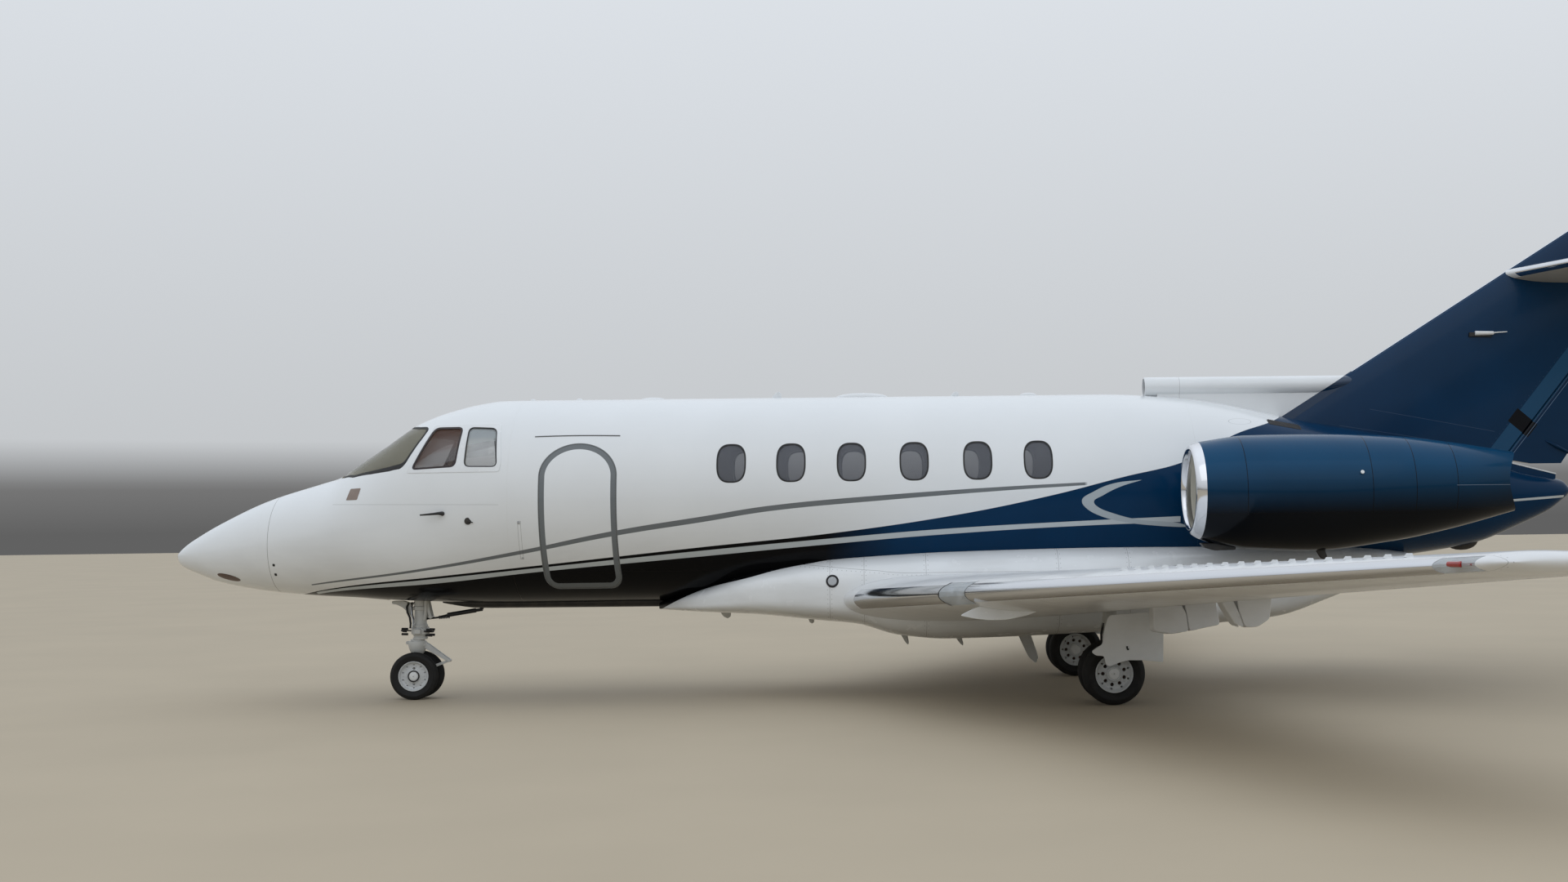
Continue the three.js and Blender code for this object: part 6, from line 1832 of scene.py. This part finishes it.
def tail_parts():
    for side, word in SIDES:
        outline = rounded([[10316, 2540], [10640, 2482], [10648, 2428], [10322, 2486]], 22)
        piece(f"louvre_plate_{word}", common(skin_sheet(10200, 10800, -1, 0.3), flank_hole(outline, side)), "seal")
        piece(f"louvre_slats_{word}", louvre_slats(side), "black_metal")
        y = side * ENGINE_Y
        scoop = rounded([[9436, 1395], [9640, 1390], [9742, 1372], [9744, 1330], [9560, 1326], [9470, 1352]], 14, 4)
        piece(f"nacelle_scoop_{word}", cut(side_prism(scoop, y - 52, y + 52, 6), loft(nacelle_rings(side, 0.3))),
              "black")
        piece(f"nacelle_drain_{word}", blade(10435, 1345, 96, 62, -118, 70, 9, y), "black", slot="gear_paint")
        vent = rod([10745, y + side * 480, 1980], [10745, y + side * 492, 1984], 16, sides=24)
        piece(f"nacelle_vent_{word}", vent, "white")
        probe = [rod([12452, side * 118, 3371], [12636, side * 118, 3371], 22, 18, 24, 5),
                 rod([12630, side * 118, 3374], [12770, side * 118, 3382], 7, 5, 12)]
        piece(f"fin_probe_{word}", probe, "white", slot="trim")
        foot = side_prism([[12394, 3338], [12620, 3334], [12560, 3376], [12400, 3380]], side * 66, side * 116, 4)
        piece(f"fin_probe_foot_{word}", foot, "black")
    piece("tail_bumper", cut(dome(12300, 0, 1372, 170, 60, -104), body_form(11800, 12900, 0.4)), "black")
    a = turns(16)
    tabs = [loft([ring(s, side * 28 + half * np.cos(a), 2322 - (s - 13150) * 0.5 + drop * np.sin(a))
                  for s, half, drop in ((13150, 3, 4), (13190, 14, 14), (13260, 22, 20), (13330, 18, 16),
                                        (13400, 8, 8), (13430, 3, 3))]) for side in (PORT, STARBOARD)]
    piece("rudder_tab_fairings", tabs, "navy", "rudder")
    stub = side_prism([[12560, 2040], [12620, 2122], [12800, 2104], [13243, 1992], [13236, 1900]], -26, 26)
    piece("tail_stub", cut(stub, body_form(TAIL_CONE_START, BODY_END, -0.3), fin_form(0.5)), "navy")
    strip = side_prism([[12800, 2104.4], [12802, 2118], [13246, 2004], [13243, 1992.4]], -30, 30)
    piece("tail_stub_strip", strip, "white")


def vortex_generators(side):
    foot = block(-26, 26, -9, 9, -2, 3, 1)
    plate = side_prism([[-26, 0], [26, 0], [20, 20], [-12, 20]], -1.5, 1.5, 0.5)
    points, faces = turned(merged(foot, plate), Matrix.Rotation(math.radians(16), 3, "Z"))
    for y in np.linspace(4560, 7100, 18):
        placed = (points + [wing_line(y, 0.12), y, wing_height(y, 0.12, 1)]) * [1, side, 1]
        yield placed, [face[::side] for face in faces]


def wing_parts():
    for side, word in SIDES:
        piece(f"vortex_generators_{word}", list(vortex_generators(side)), "white")
        plate = rounded([[7263, 866], [7373, 921], [7521, 968], [7717, 961], [7949, 912], [7801, 862], [7641, 828],
                         [7494, 826], [7372, 842]], 26, 5)
        fence = cut(side_prism(plate, side * 2894, side * 2906, 3), wing_form(side, 0.3))
        piece(f"wing_fence_{word}", fence, "white")
        y0, y1 = LANDING_LIGHT
        cover = cut(edge_shell(side, y0, y1, 0.0, 4.0, 105), edge_region(side, y0 - 9, y0 + 9, 130),
                    edge_region(side, y1 - 9, y1 + 9, 130))
        piece(f"landing_light_glass_{word}", cover, "clear")
        frames = [common(edge_shell(side, y0, y1, 0.6, 6.0, 118), edge_region(side, y, y + 7, 118))
                  for y in (y0 + 1, y1 - 8)]
        piece(f"landing_light_frame_{word}", frames, "seal")
        bulbs = []
        bowl = [(4, 92), (46, 84), (50, 40), (48, 38), (44, 78), (4, 86)]
        for y in (2660, 2860):
            s, z = wing_line(y, 0), wing_height(y, 0) + 4
            bulbs += [lathe(bowl, [s + 6, side * y, z], AFT, 32, False),
                      rod([s + 64, side * y, z], [s + 90, side * y, z], 12, sides=16)]
        piece(f"landing_lamps_{word}", bulbs, "chrome", slot="trim")
        piece(f"tip_light_glass_{word}", edge_shell(side, *TIP_LIGHT, 0.0, 3.0, 64), "clear")
        s, z = wing_line(7560, 0), wing_height(7560, 0)
        bulb = [rod([s - 2, side * 7520, z + 3], [s + 34, side * 7620, z + 5], 16, bevel=6),
                rod([s + 30, side * 7480, z + 1], [s + 70, side * 7680, z + 5], 9)]
        piece(f"tip_light_bulb_{word}", bulb, "red_lens" if side == PORT else "green_lens")
        s, z = wing_line(7560, 0.02), wing_height(7560, 0.02, -1)
        probe = rod([s - 10, side * 7400, z - 6], [s + 30, side * 7400, z - 22], 5, sides=12)
        piece(f"tip_probe_{word}", probe, "seal")


# Stage

def camera():
    """The photograph's viewpoint."""
    yaw, pitch, roll = 0.03517, 0.04556, -0.01328
    level = Vector((math.sin(yaw), math.cos(yaw), 0))
    right = Vector((math.cos(yaw), -math.sin(yaw), 0))
    up = Vector((0, 0, 1))
    ahead = level * math.cos(pitch) + up * math.sin(pitch)
    above = up * math.cos(pitch) - level * math.sin(pitch)
    across = right * math.cos(roll) + above * math.sin(roll)
    top = above * math.cos(roll) - right * math.sin(roll)
    data = bpy.data.cameras.new("camera")
    data.lens, data.sensor_width, data.clip_end = 38.126, 36, 500
    data.shift_x, data.shift_y = -0.0957, 0.00407
    thing = linked(bpy.data.objects.new("camera", data))
    place = Vector((-1.18198, -16.0, 1.59625))
    thing.matrix_world = Matrix([*zip(across, top, -ahead, place), (0, 0, 0, 1)])
    bpy.context.scene.camera = thing


def daylight():
    """An even pale sky that is brightest overhead, and one broad soft lamp above."""
    world = bpy.data.worlds.new("sky")
    world.use_nodes = True
    tree = world.node_tree
    place = tree.nodes.new("ShaderNodeTexCoord").outputs["Generated"]
    split = tree.nodes.new("ShaderNodeSeparateXYZ")
    ramp = tree.nodes.new("ShaderNodeValToRGB")
    tree.links.new(place, split.inputs[0])
    tree.links.new(split.outputs["Z"], ramp.inputs[0])
    stops = [(0.0, (0.12, 0.12, 0.12, 1)), (0.025, (0.18, 0.18, 0.18, 1)), (0.05, (0.56, 0.58, 0.60, 1)),
             (0.35, (0.74, 0.78, 0.83, 1)), (1.0, (0.98, 1.05, 1.14, 1))]
    while len(ramp.color_ramp.elements) < len(stops):
        ramp.color_ramp.elements.new(0.5)
    for element, (position, colour) in zip(ramp.color_ramp.elements, stops):
        element.position, element.color = position, colour
    background = tree.nodes["Background"]
    tree.links.new(ramp.outputs[0], background.inputs[0])
    background.inputs[1].default_value = 1.0
    bpy.context.scene.world = world
    bpy.context.scene.view_settings.view_transform = "Standard"
    lamp = bpy.data.lights.new("softbox", "AREA")
    lamp.shape, lamp.size, lamp.size_y, lamp.energy = "RECTANGLE", 30, 16, 430
    thing = linked(bpy.data.objects.new("softbox", lamp))
    thing.location = (-1, -17, 17)
    thing.rotation_euler = (math.radians(48), 0, 0)


def floor():
    mesh = bpy.data.meshes.new("floor")
    r = 120
    mesh.from_pydata([(-r, -r, 0), (r, -r, 0), (r, r, 0), (-r, r, 0)], [], [(0, 1, 2, 3)])
    f = Finish("floor")
    mesh.materials.append(f.done(f.shades(linear(178, 165, 143), 0.04, 0.5), Roughness=0.8))
    linked(bpy.data.objects.new("floor", mesh))


def carried_over():
    """Finishes for the CAD nodes that stay."""
    looks = {"cockpit_floor": "carpet", "cabin_floor": "carpet"}
    for _, word in SIDES:
        looks.update({f"cockpit_glazing_{word}": "inner_glass", f"cabin_glazing_{word}": "inner_glass"})
    for name, look in looks.items():
        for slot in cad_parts[name].material_slots:
            slot.material = LOOKS[look]


def main():
    camera()
    daylight()
    floor()
    LOOKS.update({look: plain_paint(*values) for look, values in PLAIN_LOOKS.items()})
    LOOKS.update({
        "body": body_paint(), "navy": navy_paint(), "wing": wing_paint(), "fairing": fairing_paint(),
        "nacelle": nacelle_paint(), "duct": duct_paint(), "blade": fan_metal(), "dorsal": dorsal_paint(),
        "tail": tail_paint(), "fin": fin_paint(), "rubber": tyre_rubber(), "leather": seat_leather(),
        "screen": display_glass(),
        "glass": clear("window_glass", linear(116, 120, 130), 0.30, 0.9),
        "pane_glass": clear("side_pane_glass", linear(206, 212, 212), 0.05, 0.6),
        "brown_glass": clear("brown_pane_glass", linear(112, 74, 56), 0.07, 0.4),
        "screen_glass": clear("windscreen_glass", linear(150, 146, 126), 0.22, 0.8),
        "inner_glass": clear("inner_glass", linear(200, 206, 210), 0.04, 0.3),
        "clear": clear("lens_glass", linear(214, 220, 224), 0.06, 0.7),
    })
    for build in (fuselage, passenger_door, belly_fairing, wings, fin_and_rudder, tailplanes, nacelles, wheels,
                  nose_leg, main_legs, windows, seats, cockpit_fittings, door_fittings, dorsal_intake,
                  outside_parts, tail_parts, wing_parts):
        build()
    carried_over()


main()
